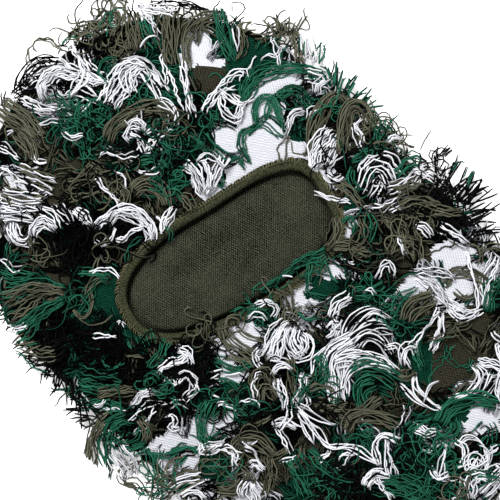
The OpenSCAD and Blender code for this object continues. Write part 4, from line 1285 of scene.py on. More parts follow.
def lay_middle_tufts(f):
    """Right under the eye opening: green and olive over the binding, then the big white curtains."""
    f.tangle("green", 18, 5, (36, -9), length=(8, 17), curl=3.5)
    f.strip("green", 6, (6, 6, 4), [(42, 0), (32, -5), (22, -10)])
    f.strip("green", 5, (5, 5, 4), [(26, -9), (14, -16), (6, -24)])
    f.tangle("green olive", 12, 4, (11, -21), length=(8, 15), curl=3.5)
    f.tangle("green", 12, 4, (-2, -32), length=(8, 15), curl=3.5)
    f.strip("olive", 6, (5, 6, 5), [(47, 18), (46, 8), (42, 1)])
    f.strip("olive", 7, (6, 7, 5), [(44, 2), (54, 2), (66, -3)])
    f.strip("white", 1, (1, 1, 1), [(16, -16), (17, -13), (23, -13)], tone=1, thick=1.2)
    f.strip("olive", 2, (2, 2, 2), [(20, -17), (24, -25), (23, -34)])
    f.strip("green", 4, (3, 3, 2), [(23, -31), (31, -38), (38, -36), (46, -38)])
    f.strip("green", 4, (3, 4, 3), [(33, -5), (31, -17), (33, -27)])
    f.strip("olive", 1, (1, 1, 1), [(38, -20), (40, -10), (46, -8), (50, -12)])
    f.strip("black", 2, (1, 1, 1), [(40, 0), (46, -6), (52, -10)])
    f.strip("white", 2, (2, 2, 2), [(48, -4), (54, -7), (58, -7)], tone=0.95)
    f.strip("green", 2, (1, 2, 1), [(40, -4), (44, -14), (48, -18)])
    f.tangle("green", 10, 4, (8, -35), length=(8, 15), curl=3.5)
    f.strip("white green", 5, (3, 5, 3), [(-2, -38), (4, -34), (10, -37)], tone=0.9)
    f.strip("white", 4, (3, 4, 3), [(2, -31), (8, -28), (14, -32), (12, -38)], tone=0.95)
    f.strip("olive", 5, (4, 5, 3), [(16, -42), (19, -31), (17, -22)])
    f.strip("olive", 4, (3, 4, 3), [(24, -44), (24, -36), (28, -30)])
    f.strip("olive", 3, (2, 3, 2), [(-13, -46), (-12, -38), (-6, -37), (-5, -42), (-10, -44)], loop=True)
    f.strip("olive", 9, (6, 9, 7), [(-16, -41), (-10, -52), (4, -59)], crimp=0.1)
    f.strip("olive", 3, (3, 4, 3), [(-7, -42), (0, -48), (10, -50)], crimp=0.1)
    f.tangle("olive", 8, 4, (-24, -42), curl=3)

    f.tangle("black green", 34, 10, (62, -10), tone=0.5)
    f.strip("black olive", 9, (9, 9, 6), [(50, -4), (62, -9), (78, -5)], tone=0.5)
    f.strip("green", 6, (5, 6, 4), [(52, -22), (62, -24), (72, -18)])
    f.tangle("green", 22, 8, (68, -26), curl=3.5)
    f.strip("white", 3, (2, 3, 2), [(68, -17), (71, -9), (76, -7), (79, -16)], tone=1, loop=True)
    f.strip("white", 2, (2, 2, 2), [(60, -24), (66, -21), (68, -24)], tone=0.95)
    f.tangle("black olive", 20, 8, (64, 12), tone=0.5)
    f.strip("green", 5, (4, 5, 4), [(62, 24), (66, 14), (64, 4)])
    f.strip("olive", 3, (3, 4, 3), [(60, 18), (62, 8), (58, 2)])
    f.strip("green", 3, (2, 5, 2), [(50, 14), (54, 18), (58, 12), (55, 6)], loop=True)
    f.strip("olive", 4, (3, 5, 3), [(70, 14), (75, 16), (78, 8), (76, -2)])
    f.strip("white", 3, (3, 3, 2), [(82, 10), (82, 3), (85, -3)], tone=0.85)
    f.strip("olive", 5, (4, 5, 3), [(88, 10), (86, 2), (90, -6)])

    f.tangle("black", 26, 9, (20, -54))
    f.strip("white", 9, (8, 9, 6), [(23, -38), (14, -46), (8, -58)], tone=1)
    f.strip("white", 8, (5, 8, 6), [(20, -40), (16, -50), (14, -60)], tone=1)
    f.strip("white", 7, (6, 8, 6), [(24, -40), (23, -52), (29, -59)], tone=1)
    f.strip("white", 5, (4, 6, 4), [(28, -44), (32, -52), (26, -58), (21, -52)], tone=1, loop=True)
    f.strip("white", 3, (2, 3, 2), [(6, -52), (2, -58), (6, -64)], tone=0.9)
    f.tangle("olive black", 20, 7, (46, -34), tone=0.6)
    f.strip("white", 7, (6, 7, 5), [(44, -40), (48, -30), (55, -25)], tone=0.95)
    f.strip("white", 5, (5, 5, 3), [(41, -45), (47, -39), (46, -48)], tone=0.95)
    f.strip("white", 3, (3, 3, 2), [(40, -50), (45, -46), (50, -38)], tone=0.9)

    f.tangle("black", 30, 11, (62, -48))
    f.strip("white black", 11, (9, 11, 6),
            [(52, -52), (56, -40), (66, -33), (77, -38)], tone=1, crimp=0.1)
    f.strip("white black", 9, (8, 9, 5), [(48, -54), (58, -46), (70, -42), (78, -44)], tone=1, crimp=0.1)
    f.strip("white black", 8, (7, 8, 5), [(56, -54), (64, -47), (72, -50), (77, -58)], tone=1, crimp=0.1)
    f.tangle("green", 8, 4, (76, -38), curl=3)
    f.strip("white", 18, (15, 15, 9), [(60, -50), (47, -58), (47, -72), (49, -83)], tone=1, crimp=0.15)
    f.strip("white", 9, (7, 9, 3), [(44, -62), (54, -59), (68, -60), (81, -66)], tone=1, crimp=0.1)
    f.strip("white", 5, (4, 5, 2), [(50, -73), (57, -64), (66, -61), (79, -66)], tone=1, crimp=0.1)
    f.strip("green", 10, (8, 12, 9), [(54, -71), (62, -64), (73, -66), (82, -73)], crimp=0.15)
    f.strip("green", 9, (8, 10, 6), [(70, -72), (61, -76), (62, -87)], crimp=0.15)
    f.strip("olive", 8, (6, 8, 6), [(42, -84), (52, -91), (62, -88), (73, -80)], crimp=0.2)
    f.strip("olive", 9, (7, 9, 7), [(53, -101), (56, -92), (66, -90), (81, -96)], crimp=0.2)
    f.tangle("green", 14, 5, (60, -101), curl=3.5)
    f.strip("white", 3, (3, 4, 2), [(71, -54), (80, -51), (84, -58), (87, -65)], tone=1, crimp=0.1)
    f.strip("white", 4, (3, 4, 2),
            [(84, -65), (84, -55), (89, -53), (92, -61)], tone=1, crimp=0.1, loop=True)
    f.strip("green", 7, (6, 6, 4), [(93, -44), (91, -56), (94, -66)])
    f.strip("olive", 6, (5, 6, 4), [(78, -68), (86, -69), (90, -66)])


def lay_neck_tufts(f):
    """The lower middle: long white strands, olive arcs, and green over bare white knit."""
    f.tangle("black", 24, 8, (8, -74))
    f.strip("olive", 6, (4, 6, 4), [(3, -82), (2, -71), (7, -66), (12, -72), (14, -84)], loop=True)
    f.strip("olive", 5, (4, 5, 4), [(6, -86), (8, -74), (16, -82)])
    f.strip("white", 2, (2, 2, 1), [(4, -84), (2, -75), (4, -68), (8, -67)], tone=1)
    f.strip("olive", 7, (5, 6, 4), [(22, -56), (23, -70), (24, -86)])
    f.strip("white", 4, (3, 4, 3), [(9, -62), (12, -59), (20, -62)], tone=0.95)
    f.strip("white", 4, (3, 4, 3), [(12, -70), (14, -64), (20, -63), (23, -68)], tone=1, loop=True)
    f.strip("white", 5, (4, 5, 2), [(14, -68), (17, -78), (19, -87)], tone=1)
    f.strip("white", 6, (5, 6, 2), [(29, -66), (28, -76), (24, -86)], tone=1)
    f.strip("white", 2, (1, 2, 1),
            [(24, -68), (33, -68), (35, -59), (41, -51)], tone=1, crimp=0.2, thick=1.1)
    f.strip("white", 3, (3, 3, 2), [(30, -78), (32, -84), (27, -88)], tone=0.95)
    f.strip("green", 7, (6, 7, 6), [(34, -54), (40, -62), (40, -72)])
    f.tangle("green", 14, 6, (35, -74))
    f.strip("olive", 3, (3, 3, 3), [(30, -76), (38, -74), (46, -76)])
    f.strip("olive", 9, (7, 9, 8), [(34, -84), (44, -85), (52, -86)])

    f.tangle("black", 20, 8, (38, -94))
    f.strip("white", 3, (2, 3, 2), [(24, -83), (35, -90), (47, -95)], tone=1, crimp=0.1)
    f.strip("white", 3, (2, 4, 2), [(25, -87), (30, -96), (35, -106)], tone=1, crimp=0.1)
    f.strip("white", 2, (2, 4, 2), [(25, -86), (31, -94), (38, -98)], tone=0.95, crimp=0.1)
    f.strip("white", 4, (2, 3, 4),
            [(24, -84), (36, -98), (43, -107), (56, -108), (70, -116)], tone=1, crimp=0.15)
    f.strip("white", 3, (1, 3, 2), [(43, -108), (42, -112), (37, -116)], tone=0.95)
    f.strip("white", 2, (2, 2, 1), [(42, -120), (49, -119), (55, -111)], tone=1)
    f.strip("white", 2, (2, 2, 1), [(47, -116), (51, -111), (57, -111)], tone=0.95)
    f.strip("white", 5, (3, 5, 3), [(11, -96), (19, -93), (27, -98)], tone=1)
    f.strip("white", 3, (4, 3, 2), [(14, -96), (19, -104), (22, -111)], tone=1)
    f.strip("white", 3, (2, 3, 3), [(22, -84), (20, -92), (16, -98)], tone=1)
    f.strip("white", 2, (2, 2, 2), [(16, -116), (21, -113), (26, -112)], tone=0.9)
    f.strip("olive", 4, (3, 4, 3), [(29, -106), (27, -115), (21, -119)])
    f.strip("olive", 5, (4, 5, 4), [(8, -108), (14, -112), (20, -108)])

    f.strip("green", 6, (4, 6, 4), [(-21, -59), (-9, -64), (3, -62)], crimp=0.2)
    f.strip("olive", 3, (3, 3, 3), [(-14, -58), (-4, -60), (2, -66)])
    f.strip("green", 4, (3, 4, 3), [(-21, -73), (-13, -71), (-6, -76)], crimp=0.2)
    f.strip("white", 2, (1, 2, 1), [(-14, -70), (-8, -67), (-3, -67)], tone=0.9)
    f.tangle("green black", 16, 6, (-17, -82))
    f.strip("white", 3, (2, 3, 2), [(-20, -86), (-14, -83), (-7, -86)], tone=0.9)
    f.strip("white", 2, (2, 2, 1), [(-8, -84), (-3, -81), (3, -82), (4, -86)], tone=1)
    f.tangle("green", 14, 6, (-4, -86))
    f.strip("green", 8, (9, 9, 8), [(-20, -80), (-25, -92), (-27, -105)], crimp=0.2)
    f.strip("green", 3, (3, 4, 3), [(-30, -88), (-26, -98), (-22, -106)], crimp=0.2)
    f.strip("green black", 6, (5, 6, 4), [(-8, -90), (2, -92), (12, -88)])
    f.strip("olive", 4, (3, 4, 3), [(-6, -96), (4, -94), (12, -91)])
    f.strip("black", 2, (1, 1, 1), [(-18, -99), (-11, -95), (-5, -91)])
    f.tangle("black", 16, 7, (0, -98))
    f.strip("white", 5, (3, 4, 3), [(-31, -113), (-24, -108), (-13, -104)], tone=0.95)
    f.strip("white", 3, (2, 3, 2), [(-28, -104), (-25, -110), (-18, -108)], tone=0.95)
    f.strip("white", 3, (2, 2, 2), [(-6, -101), (-2, -106), (4, -104)], tone=0.95)
    f.strip("olive", 10, (6, 10, 7), [(-10, -116), (-6, -106), (4, -104), (13, -111)], crimp=0.2)
    f.tangle("olive", 16, 9, (-10, -119), curl=6)
    f.tangle("green", 8, 7, (-16, -122), curl=5)
    f.strip("white", 4, (3, 5, 3), [(-22, -112), (-14, -108), (-5, -113)], tone=0.9)
    f.strip("white", 3, (2, 3, 2), [(-6, -106), (2, -110), (6, -118)], tone=0.85)
    f.strip("olive", 8, (6, 7, 6), [(8, -110), (10, -122), (9, -134)])
    f.strip("olive", 6, (5, 6, 4), [(-20, -131), (-10, -132), (-4, -126)])
    f.strip("white", 4, (4, 4, 3), [(-8, -108), (-9, -113), (-8, -118)], tone=0.85)
    f.strip("white", 5, (5, 6, 4), [(-2, -118), (3, -116), (8, -120)], tone=0.85)
    f.strip("white", 7, (3, 7, 8), [(0, -125), (2, -131), (4, -138)], tone=1)
    f.strip("white", 4, (3, 4, 3), [(0, -125), (-4, -130), (-4, -136)], tone=0.95)

    f.strip("green", 13, (9, 14, 12), [(22, -110), (28, -120), (34, -134)])
    f.strip("green", 9, (6, 9, 8), [(32, -108), (42, -119), (52, -126)])
    f.tangle("green black", 34, 11, (46, -128))
    f.tangle("black", 24, 9, (60, -128))
    f.strip("white", 8, (6, 8, 5), [(62, -131), (67, -123), (76, -124)], tone=1)
    f.strip("white", 4, (3, 4, 3), [(68, -122), (72, -130), (78, -136)], tone=0.95)
    f.strip("white", 4, (2, 4, 2), [(71, -120), (68, -108), (73, -101), (83, -104)], tone=1, crimp=0.15)
    f.strip("white", 3, (2, 3, 2), [(74, -101), (74, -112), (76, -125)], tone=1, crimp=0.2)
    f.strip("white", 2, (1, 2, 1), [(77, -102), (74, -110), (82, -124)], tone=1)
    f.tangle("green black", 34, 10, (88, -110))
    f.strip("green", 14, (8, 11, 12), [(70, -126), (85, -129), (99, -137)])


def lay_corner_tufts(f):
    """The lower right corner: white combs and loops round a green band and bare white knit."""
    f.strip("green", 2, (2, 4, 2), [(97, -78), (101, -64), (112, -52)], crimp=0.8)
    f.strip("green", 2, (1, 3, 2), [(106, -50), (109, -60), (117, -64), (122, -58)], crimp=0.8)
    f.strip("green olive", 4, (3, 6, 3), [(95, -50), (104, -48), (114, -46)], tone=0.5)
    f.strip("white", 3, (2, 4, 3), [(81, -72), (89, -80), (97, -86)], tone=1, crimp=0.1)
    f.strip("white", 4, (2, 4, 3), [(90, -66), (91, -76), (99, -84), (105, -86)], tone=1, crimp=0.15)
    f.strip("white", 2, (2, 2, 1), [(103, -71), (97, -74), (95, -84)], tone=1, crimp=0.1)
    f.strip("olive", 3, (3, 3, 2), [(122, -60), (122, -70), (110, -79)], tone=0.6)
    f.strip("white", 5, (4, 6, 3), [(121, -62), (126, -69), (122, -76), (109, -82)], tone=1, crimp=0.2)
    f.strip("white", 6, (5, 6, 6), [(124, -61), (131, -63), (139, -66)], tone=0.95)
    f.strip("white black", 9, (9, 9, 8), [(134, -66), (130, -74), (126, -80)], tone=1, crimp=0.1)
    f.strip("white", 4, (3, 3, 3), [(134, -50), (137, -62), (135, -76), (138, -86)], tone=1)
    f.strip("white", 3, (2, 3, 2), [(132, -42), (135, -47), (139, -50)], tone=0.9)
    f.strip("green", 13, (8, 10, 7), [(102, -96), (110, -85), (122, -81), (136, -84)], crimp=0.15)
    f.strip("green", 8, (5, 7, 5),
            [(99, -95), (105, -101), (112, -98), (112, -90)], crimp=0.15, loop=True)
    f.strip("white", 6, (5, 6, 4), [(88, -96), (95, -99), (101, -98)], tone=0.95)
    f.strip("white", 3, (2, 3, 2), [(94, -106), (97, -110), (103, -106), (110, -108)], tone=0.95)
    f.strip("green", 6, (5, 6, 5), [(84, -100), (90, -94), (99, -90)])
    f.strip("green", 2, (1, 2, 1), [(119, -101), (123, -97), (127, -94)])
    f.strip("green", 3, (3, 5, 5), [(131, -94), (133, -100), (131, -108)])
    f.tangle("black green", 34, 11, (120, -114))
    f.tangle("green", 26, 9, (104, -116))
    f.strip("white", 3, (2, 4, 2),
            [(112, -108), (118, -102), (126, -105), (129, -114), (128, -122)], tone=1, crimp=0.2)
    f.strip("white", 3, (2, 4, 2),
            [(110, -102), (117, -108), (115, -117), (112, -116)], tone=1, crimp=0.2)
    f.strip("white", 3, (2, 3, 2), [(118, -116), (124, -119), (130, -113), (136, -106)], tone=1)
    f.strip("white", 3, (2, 3, 2), [(108, -106), (105, -114), (104, -124), (108, -125)], tone=0.9)
    f.tangle("white", 16, 6, (126, -121), curl=4, tone=1)
    f.strip("white", 4, (3, 4, 3), [(117, -122), (116, -131), (110, -137)], tone=0.95)
    f.strip("white", 5, (4, 5, 3),
            [(122, -138), (121, -126), (127, -124), (133, -129)], tone=1, loop=True)
    f.strip("white", 9, (6, 8, 7), [(125, -135), (131, -128), (139, -121)], tone=1, crimp=0.1)
    f.strip("white", 4, (3, 4, 3), [(98, -118), (102, -124), (108, -122)], tone=0.85)
    f.strip("green", 6, (5, 6, 5), [(106, -126), (112, -131), (120, -131)])
    f.strip("green", 5, (4, 5, 5), [(114, -124), (124, -122), (136, -124)])
    f.tangle("green olive", 18, 8, (108, -132))


def lay_low_left_tufts(f):
    """The lower left: green rows, white curls over black, and bundles that hang over the side."""
    f.strip("green", 9, (16, 16, 16), [(-61, -46), (-58, -53)], crimp=0.1)
    f.tangle("black", 40, 12, (-66, -62), tone=0.5)
    f.strip("green", 5, (7, 6, 5), [(-46, -48), (-50, -58), (-56, -64)])
    f.strip("green", 2, (2, 2, 2), [(-82, -58), (-78, -64), (-73, -64), (-69, -60)])
    f.strip("olive", 2, (2, 2, 2), [(-70, -58), (-64, -58), (-58, -59)])
    f.strip("green", 9, (6, 9, 8), [(-96, -73), (-86, -75), (-70, -74)])
    f.strip("olive", 7, (5, 7, 5), [(-86, -80), (-76, -78), (-62, -76)])
    f.strip("green", 7, (5, 7, 5), [(-96, -86), (-83, -85), (-70, -87)])
    f.strip("green black", 7, (7, 8, 6), [(-94, -64), (-84, -68), (-72, -68)], tone=0.6)
    f.strip("white", 3, (2, 3, 2), [(-88, -83), (-84, -86), (-80, -82)], tone=0.85)
    f.strip("white", 2, (1, 2, 1), [(-84, -89), (-76, -87), (-68, -89)], tone=0.95)
    f.strip("white", 5, (3, 5, 3), [(-67, -88), (-59, -79), (-49, -77), (-43, -67)], tone=1)
    f.strip("white", 2, (1, 2, 1), [(-70, -97), (-64, -92), (-58, -86), (-50, -83), (-42, -85)], tone=1)
    f.strip("white", 2, (1, 2, 1), [(-64, -103), (-62, -98), (-58, -97), (-51, -86)], tone=1)

    f.tangle("black", 46, 12, (-36, -72))
    f.tangle("black", 26, 7, (-26, -56))
    f.strip("white", 5, (3, 5, 3), [(-52, -68), (-45, -63), (-37, -60), (-33, -55)], tone=1)
    f.strip("white", 5, (4, 5, 3), [(-41, -54), (-34, -56), (-31, -62)], tone=0.95)
    f.strip("white", 4, (3, 4, 2), [(-41, -70), (-33, -68), (-30, -75), (-37, -82)], tone=0.95)
    f.strip("white", 4, (3, 4, 3), [(-46, -70), (-40, -74), (-36, -70)], tone=0.9)
    f.tangle("black", 26, 9, (-40, -84))
    f.strip("white", 2, (1, 2, 1), [(-30, -70), (-29, -76), (-34, -81)], tone=0.95)
    f.strip("white", 3, (2, 3, 2), [(-47, -92), (-43, -90), (-41, -94), (-44, -98), (-37, -97)], tone=0.9)
    f.strip("white black", 4, (3, 4, 3), [(-46, -86), (-39, -83), (-34, -87)], tone=0.8)
    f.spikes("black white", 12, 8, (-24, -66), (-24, -78), (-10, 10), 20, "front")
    f.strip("green", 4, (3, 4, 3), [(-58, -72), (-54, -68), (-50, -72)])
    f.tangle("green", 10, 4, (-52, -74), curl=3)
    f.strip("green", 3, (2, 3, 3), [(-46, -78), (-40, -82), (-36, -90)])

    f.tangle("green black", 24, 8, (-72, -97))
    f.strip("green", 13, (8, 9, 6), [(-66, -90), (-78, -96), (-81, -108), (-78, -120)], crimp=0.2)
    f.strip("green", 7, (5, 7, 5), [(-57, -94), (-60, -104), (-70, -108), (-77, -104)], crimp=0.2)
    f.strip("green", 5, (4, 5, 4), [(-74, -108), (-66, -112), (-57, -106)], crimp=0.2)
    f.strip("olive", 5, (5, 5, 4), [(-62, -90), (-56, -98), (-56, -106)])
    f.strip("green", 4, (3, 4, 3), [(-60, -106), (-56, -118), (-50, -128), (-43, -134)], crimp=0.15)
    f.strip("green", 3, (2, 3, 2), [(-57, -108), (-50, -120), (-48, -130)], crimp=0.15)
    f.strip("black green", 3, (2, 3, 2), [(-79, -116), (-77, -126), (-84, -130)], "edge")
    f.strip("green", 2, (1, 2, 1), [(-80, -128), (-73, -137), (-66, -139)], "edge")
    f.strip("olive", 12, (5, 6, 10),
            [(-80, -89), (-87, -104), (-89, -119), (-94, -128)], "edge", crimp=0.2)
    f.strip("olive", 3, (2, 2, 2), [(-74, -88), (-83, -93), (-88, -106), (-88, -118)], "edge", tone=1.1)
    f.strip("olive", 4, (3, 4, 3), [(-60, -117), (-70, -121), (-70, -128), (-62, -133)], loop=True)
    f.strip("olive", 3, (3, 4, 3), [(-70, -129), (-64, -129), (-58, -136)])
    f.strip("black green", 3, (3, 3, 2), [(-64, -132), (-54, -136), (-46, -132)])
    f.strip("white", 14, (14, 14, 12),
            [(-76, -108), (-70, -117), (-66, -126)], "edge", tone=0.75, crimp=0.1)
    f.strip("green", 5, (3, 4, 3), [(-57, -112), (-46, -113), (-34, -108), (-27, -111)], crimp=0.15)
    f.strip("green", 3, (2, 3, 2), [(-34, -112), (-40, -119), (-42, -128)], crimp=0.15)
    f.strip("olive", 2, (2, 3, 2), [(-35, -113), (-44, -116), (-46, -124), (-40, -130)], crimp=0.1)
    f.strip("white olive", 8, (8, 9, 7), [(-50, -139), (-38, -128), (-26, -124)], tone=0.95, crimp=0.15)
    f.strip("white", 4, (3, 4, 4), [(-40, -137), (-30, -133), (-24, -136)], tone=0.95)
    f.tangle("olive green", 14, 6, (-52, -130))

    f.strip("black", 10, (10, 12, 14), [(-100, -52), (-112, -57), (-124, -56)], "edge")
    f.strip("olive", 5, (8, 10, 10), [(-104, -55), (-116, -57), (-126, -52)], "edge", tone=0.6)
    f.strip("green", 2, (2, 2, 2), [(-107, -67), (-118, -66), (-124, -59), (-131, -56)], "edge")
    f.strip("black", 2, (2, 2, 2), [(-108, -60), (-118, -61), (-123, -58)], "edge")
    f.spikes("black", 12, 15, (-108, -60), (-98, -70), (-100, -80), 16)
    f.spikes("black", 12, 17, (-100, -68), (-90, -84), (-80, -60), 12)
    f.spikes("black", 9, 11, (-94, -86), (-86, -94), (-160, -190), 18)
    f.spikes("olive green", 9, 12, (-122, -44), (-112, -52), (-150, -170), 12)
    f.strip("olive", 1, (1, 1, 1), [(-96, -77), (-104, -80), (-110, -85)], "edge")


def lay_tufts(fringe):
    for lay in (
        lay_left_tufts, lay_low_left_tufts, lay_crown_tufts, lay_top_tufts, lay_middle_tufts,
        lay_right_tufts, lay_neck_tufts, lay_corner_tufts,
    ):
        lay(fringe)


# ---------------------------------------------------------------- tubes
# Millimetres between a yarn's rings: more for the colours whose bends show least
RING_SPACING = {"white": 2.0, "green": 2.5, "olive": 2.2, "black": 3.0}
BAKE_COLUMNS = 8    # yarns side by side in the OFBake UV map
BAKE_MARGIN = 0.06  # free rim of each yarn's place there


class Tubes:
    """Many yarns as tubes: rings of points along each yarn, and a tip past each of its ends."""

    def __init__(self, yarns, sides, spacing):
        picks = []
        for points, _, _ in yarns:
            steps = max(1, round((len(points) - 1) / spacing))
            picks.append(np.rint(np.linspace(0, len(points) - 1, steps + 1)).astype(int))
        counts = np.array([len(i) for i in picks])
        self.count = len(yarns)
        self.sides = sides
        self.line = np.concatenate([p[i] for (p, _, _), i in zip(yarns, picks)])
        self.radius = np.repeat([r for _, r, _ in yarns], counts)
        self.tone = np.concatenate([t[i] for (_, _, t), i in zip(yarns, picks)])
        self.run = np.concatenate(picks).astype(float)
        self.owner = np.repeat(np.arange(self.count), counts)
        self.last = np.cumsum(counts) - 1
        self.first = self.last - counts + 1
        self.first_tip = len(self.line) * sides

    def points(self):
        """The rings' points, then the tips at the yarns' starts, then those at their ends."""
        line, first, last = self.line, self.first, self.last
        ahead = np.roll(line, -1, 0)
        behind = np.roll(line, 1, 0)
        ahead[last] = line[last]
        behind[first] = line[first]
        along = ahead - behind
        along /= np.maximum(np.linalg.norm(along, axis=1), 1e-9)[:, None]
        side = np.cross(along, (0, 0, 1.0))
        side /= np.maximum(np.linalg.norm(side, axis=1), 1e-6)[:, None]
        over = np.cross(side, along)
        radius = self.radius.copy()
        radius[first] *= 0.7
        radius[last] *= 0.7
        turn = np.arange(self.sides) * 2 * math.pi / self.sides
        rings = line[:, None] + radius[:, None, None] * (
            np.cos(turn)[None, :, None] * side[:, None] + np.sin(turn)[None, :, None] * over[:, None]
        )
        tips = (line[first] - along[first] * 0.3, line[last] + along[last] * 0.3)
        return np.concatenate([rings.reshape(-1, 3), *tips])

    def faces(self):
        """Quads between the rings, and the triangles that close the ends."""
        start = np.setdiff1d(np.arange(len(self.line)), self.last)
        j = np.arange(self.sides)
        after = (j + 1) % self.sides
        near = start[:, None] * self.sides
        far = near + self.sides
        quads = np.stack([near + j, far + j, far + after, near + after], -1).reshape(-1, 4)
        start_tip = self.first_tip + np.arange(self.count)[:, None] + 0 * j
        first = self.first[:, None] * self.sides
        last = self.last[:, None] * self.sides
        opening = np.stack([start_tip, first + j, first + after], -1)
        closing = np.stack([start_tip + self.count, last + after, last + j], -1)
        return quads, np.concatenate([opening, closing]).reshape(-1, 3)

    def tones(self):
        return np.concatenate([
            np.repeat(self.tone, self.sides), self.tone[self.first], self.tone[self.last],
        ])

    def lay_uvs(self, mesh, quad_count):
        """UVs along and round each yarn, and UVs that give each yarn a place of its own."""
        corners = face_corners(mesh)
        is_tip = corners >= self.first_tip
        from_tip = corners - self.first_tip
        yarn = from_tip % self.count
        is_start = from_tip < self.count
        at = np.where(is_tip, np.where(is_start, self.first[yarn], self.last[yarn]), corners // self.sides)
        across = np.where(is_tip, 0.5, (corners % self.sides) / self.sides)
        on_quads = across[:quad_count * 4].reshape(-1, self.sides, 4)
        closing = on_quads[:, -1]
        closing[closing == 0] = 1.0
        set_uvs(mesh, "yarn", self.run[at], across)

        whose = self.owner[at]
        length = self.run[self.last[whose]] + 0.01
        share = np.where(is_tip, np.where(is_start, 0.0, 1.0), 0.02 + 0.96 * self.run[at] / length)
        rows = math.ceil(self.count / BAKE_COLUMNS)
        inner = 1 - 2 * BAKE_MARGIN
        bake_u = (whose % BAKE_COLUMNS + BAKE_MARGIN + inner * share) / BAKE_COLUMNS
        bake_v = (whose // BAKE_COLUMNS + BAKE_MARGIN + inner * across) / rows
        set_uvs(mesh, "OFBake", bake_u, bake_v)


def tube_mesh(name, yarns, sides, spacing):
    """One mesh of many yarns as closed tubes, with each yarn's tone and two sets of UVs."""
    tubes = Tubes(yarns, sides, spacing)
    quads, triangles = tubes.faces()
    piece = build_mesh(name, tubes.points(), quads, triangles)
    set_tones(piece.data, tubes.tones())
    tubes.lay_uvs(piece.data, len(quads))
    return piece


# ---------------------------------------------------------------- stitches, seam and hem
LOOP_PITCH = 1.65        # from one overlock loop to the next
HEM_STITCH_PITCH = 4.4


def straight_yarn(points, radius, tone):
    """A short piece of thread along a path in space, as the tube builder takes it."""
    line = resample(points, 0.5)
    return line, radius, np.full(len(line), tone)


def make_overlock():
    """Thread loops that bite over the binding's outer edge, and the thread that links them."""
    rng = np.random.default_rng(71)
    turn = np.linspace(0, 2 * math.pi, 2000, endpoint=False)
    fine = eye_point(turn, BINDING_W)
    run = np.concatenate([[0], np.cumsum(np.hypot(*(np.roll(fine, -1, 0) - fine).T))])
    count = int(run[-1] / LOOP_PITCH)
    at = np.interp(np.arange(count) * run[-1] / count, run, np.append(turn, 2 * math.pi))
    top = BINDING_TOP
    profile = ((BINDING_W - 1.6, top), (BINDING_W - 0.7, top - 0.5), (BINDING_W, top - 1.2),
               (BINDING_W + 0.3, top - 2.1), (BINDING_W, top - 2.9))
    loops = []
    pace = 2 * math.pi / count
    for a in at:
        lean = rng.uniform(0.1, 0.5) * pace
        points = [
            np.append(eye_point(np.array(a + lean * i), g), z) for i, (g, z) in enumerate(profile)
        ]
        loops.append(straight_yarn(points, 0.3, rng.uniform(0.7, 1.5)))
    link = [np.append(eye_point(np.array(a), BINDING_W - 1.6), top) for a in at]
    loops.append(straight_yarn(link + link[:1], 0.24, 0.5))
    piece = tube_mesh("overlock_loops", loops, 6, spacing=1)
    return finish_piece(piece, "thread", "eye_overlock_stitches")


def make_seam():
    """The overlocked side seam, its threads wound round the joined edges."""
    ring = outline(2000)
    keep = slice(0, int(np.argmax((ring[:, 0] <= -HALF_W + 1e-6) & (ring[:, 1] < HEM_Y + 0.6))))
    path = ring[keep]
    normals = ring_normals(ring)[keep]
    mid = (BACK_Z + FACE_Z) / 2
    high = (FACE_Z - BACK_Z) / 2
    turns = np.arange(len(path)) * 0.5 * 2 * math.pi / 6
    sides = 10
    around = np.arange(sides) * 2 * math.pi / sides
    ribs = 0.12 * np.sin(turns[:, None] + around[None, :])
    out = 0.15 + 1.7 * (1 + np.cos(around)[None, :]) + ribs * np.cos(around)
    z = mid + (high + ribs) * np.sin(around)[None, :]
    points = np.concatenate([path[:, None] + normals[:, None] * out[..., None], z[..., None]], -1)
    quads = ring_quads(len(path), sides, closed=False)
    ends = np.concatenate([points[0].mean(0)[None], points[-1].mean(0)[None]])
    count = len(path) * sides
    caps = np.concatenate([fan(count, 0, sides)[:, ::-1], fan(count + 1, count - sides, sides)])
    piece = build_mesh("overlocked_seam", np.concatenate([points.reshape(-1, 3), ends]), quads, caps)
    tone = 0.35 + 0.35 * np.sin(turns[:, None] * 1.7 + around[None, :])
    set_tones(piece.data, np.append(tone.ravel(), (0.4, 0.4)))
    return finish_piece(piece, "thread", "side_seam")


def make_hem():
    """The rib band folded over the cloth's cut edges round the neck's mouth."""
    xs = np.linspace(-HALF_W + 0.5, HALF_W - 0.5, 160)
    low = HEM_FOLD_Y
    mouth = 0.88 * HALF_W
    upper = FACE_Z + HEAD_ROOM * smooth((1 - np.abs(xs) / HALF_W) / DOME_SHARE)
    inner = np.abs(xs) < mouth
    loop_out = np.concatenate([
        np.column_stack([xs, upper]), np.column_stack([xs[::-1], np.full(len(xs), BACK_Z)]),
    ])
    top_in = np.where(inner, upper - OUTER_T - LINING_T - 0.35, (upper + BACK_Z) / 2 + 0.2)
    low_in = np.where(inner, LINING_BACK_Z + LINING_T + 0.05, (upper + BACK_Z) / 2 - 0.2)
    loop_in = np.concatenate([np.column_stack([xs, top_in]), np.column_stack([xs[::-1], low_in[::-1]])])
    rings = []
    folds = (
        (HEM_Y - 0.15, 0.0), (low + 0.35, 0.02), (low, 0.3),
        (low, 0.7), (low + 0.35, 0.98), (HEM_Y - 0.15, 1.0),
    )
    for y, share in folds:
        p = loop_out + (loop_in - loop_out) * share
        rings.append(np.column_stack([p[:, 0], np.full(len(p), y), p[:, 1]]))
    points = np.concatenate(rings)
    piece = build_mesh("hem_band", points, ring_quads(len(rings), len(loop_out), closed=True))
    at = points[face_corners(piece.data)]
    set_uvs(piece.data, "rib", at[:, 0], at[:, 2])
    return finish_piece(piece, "binding_rib", "neck_hem")


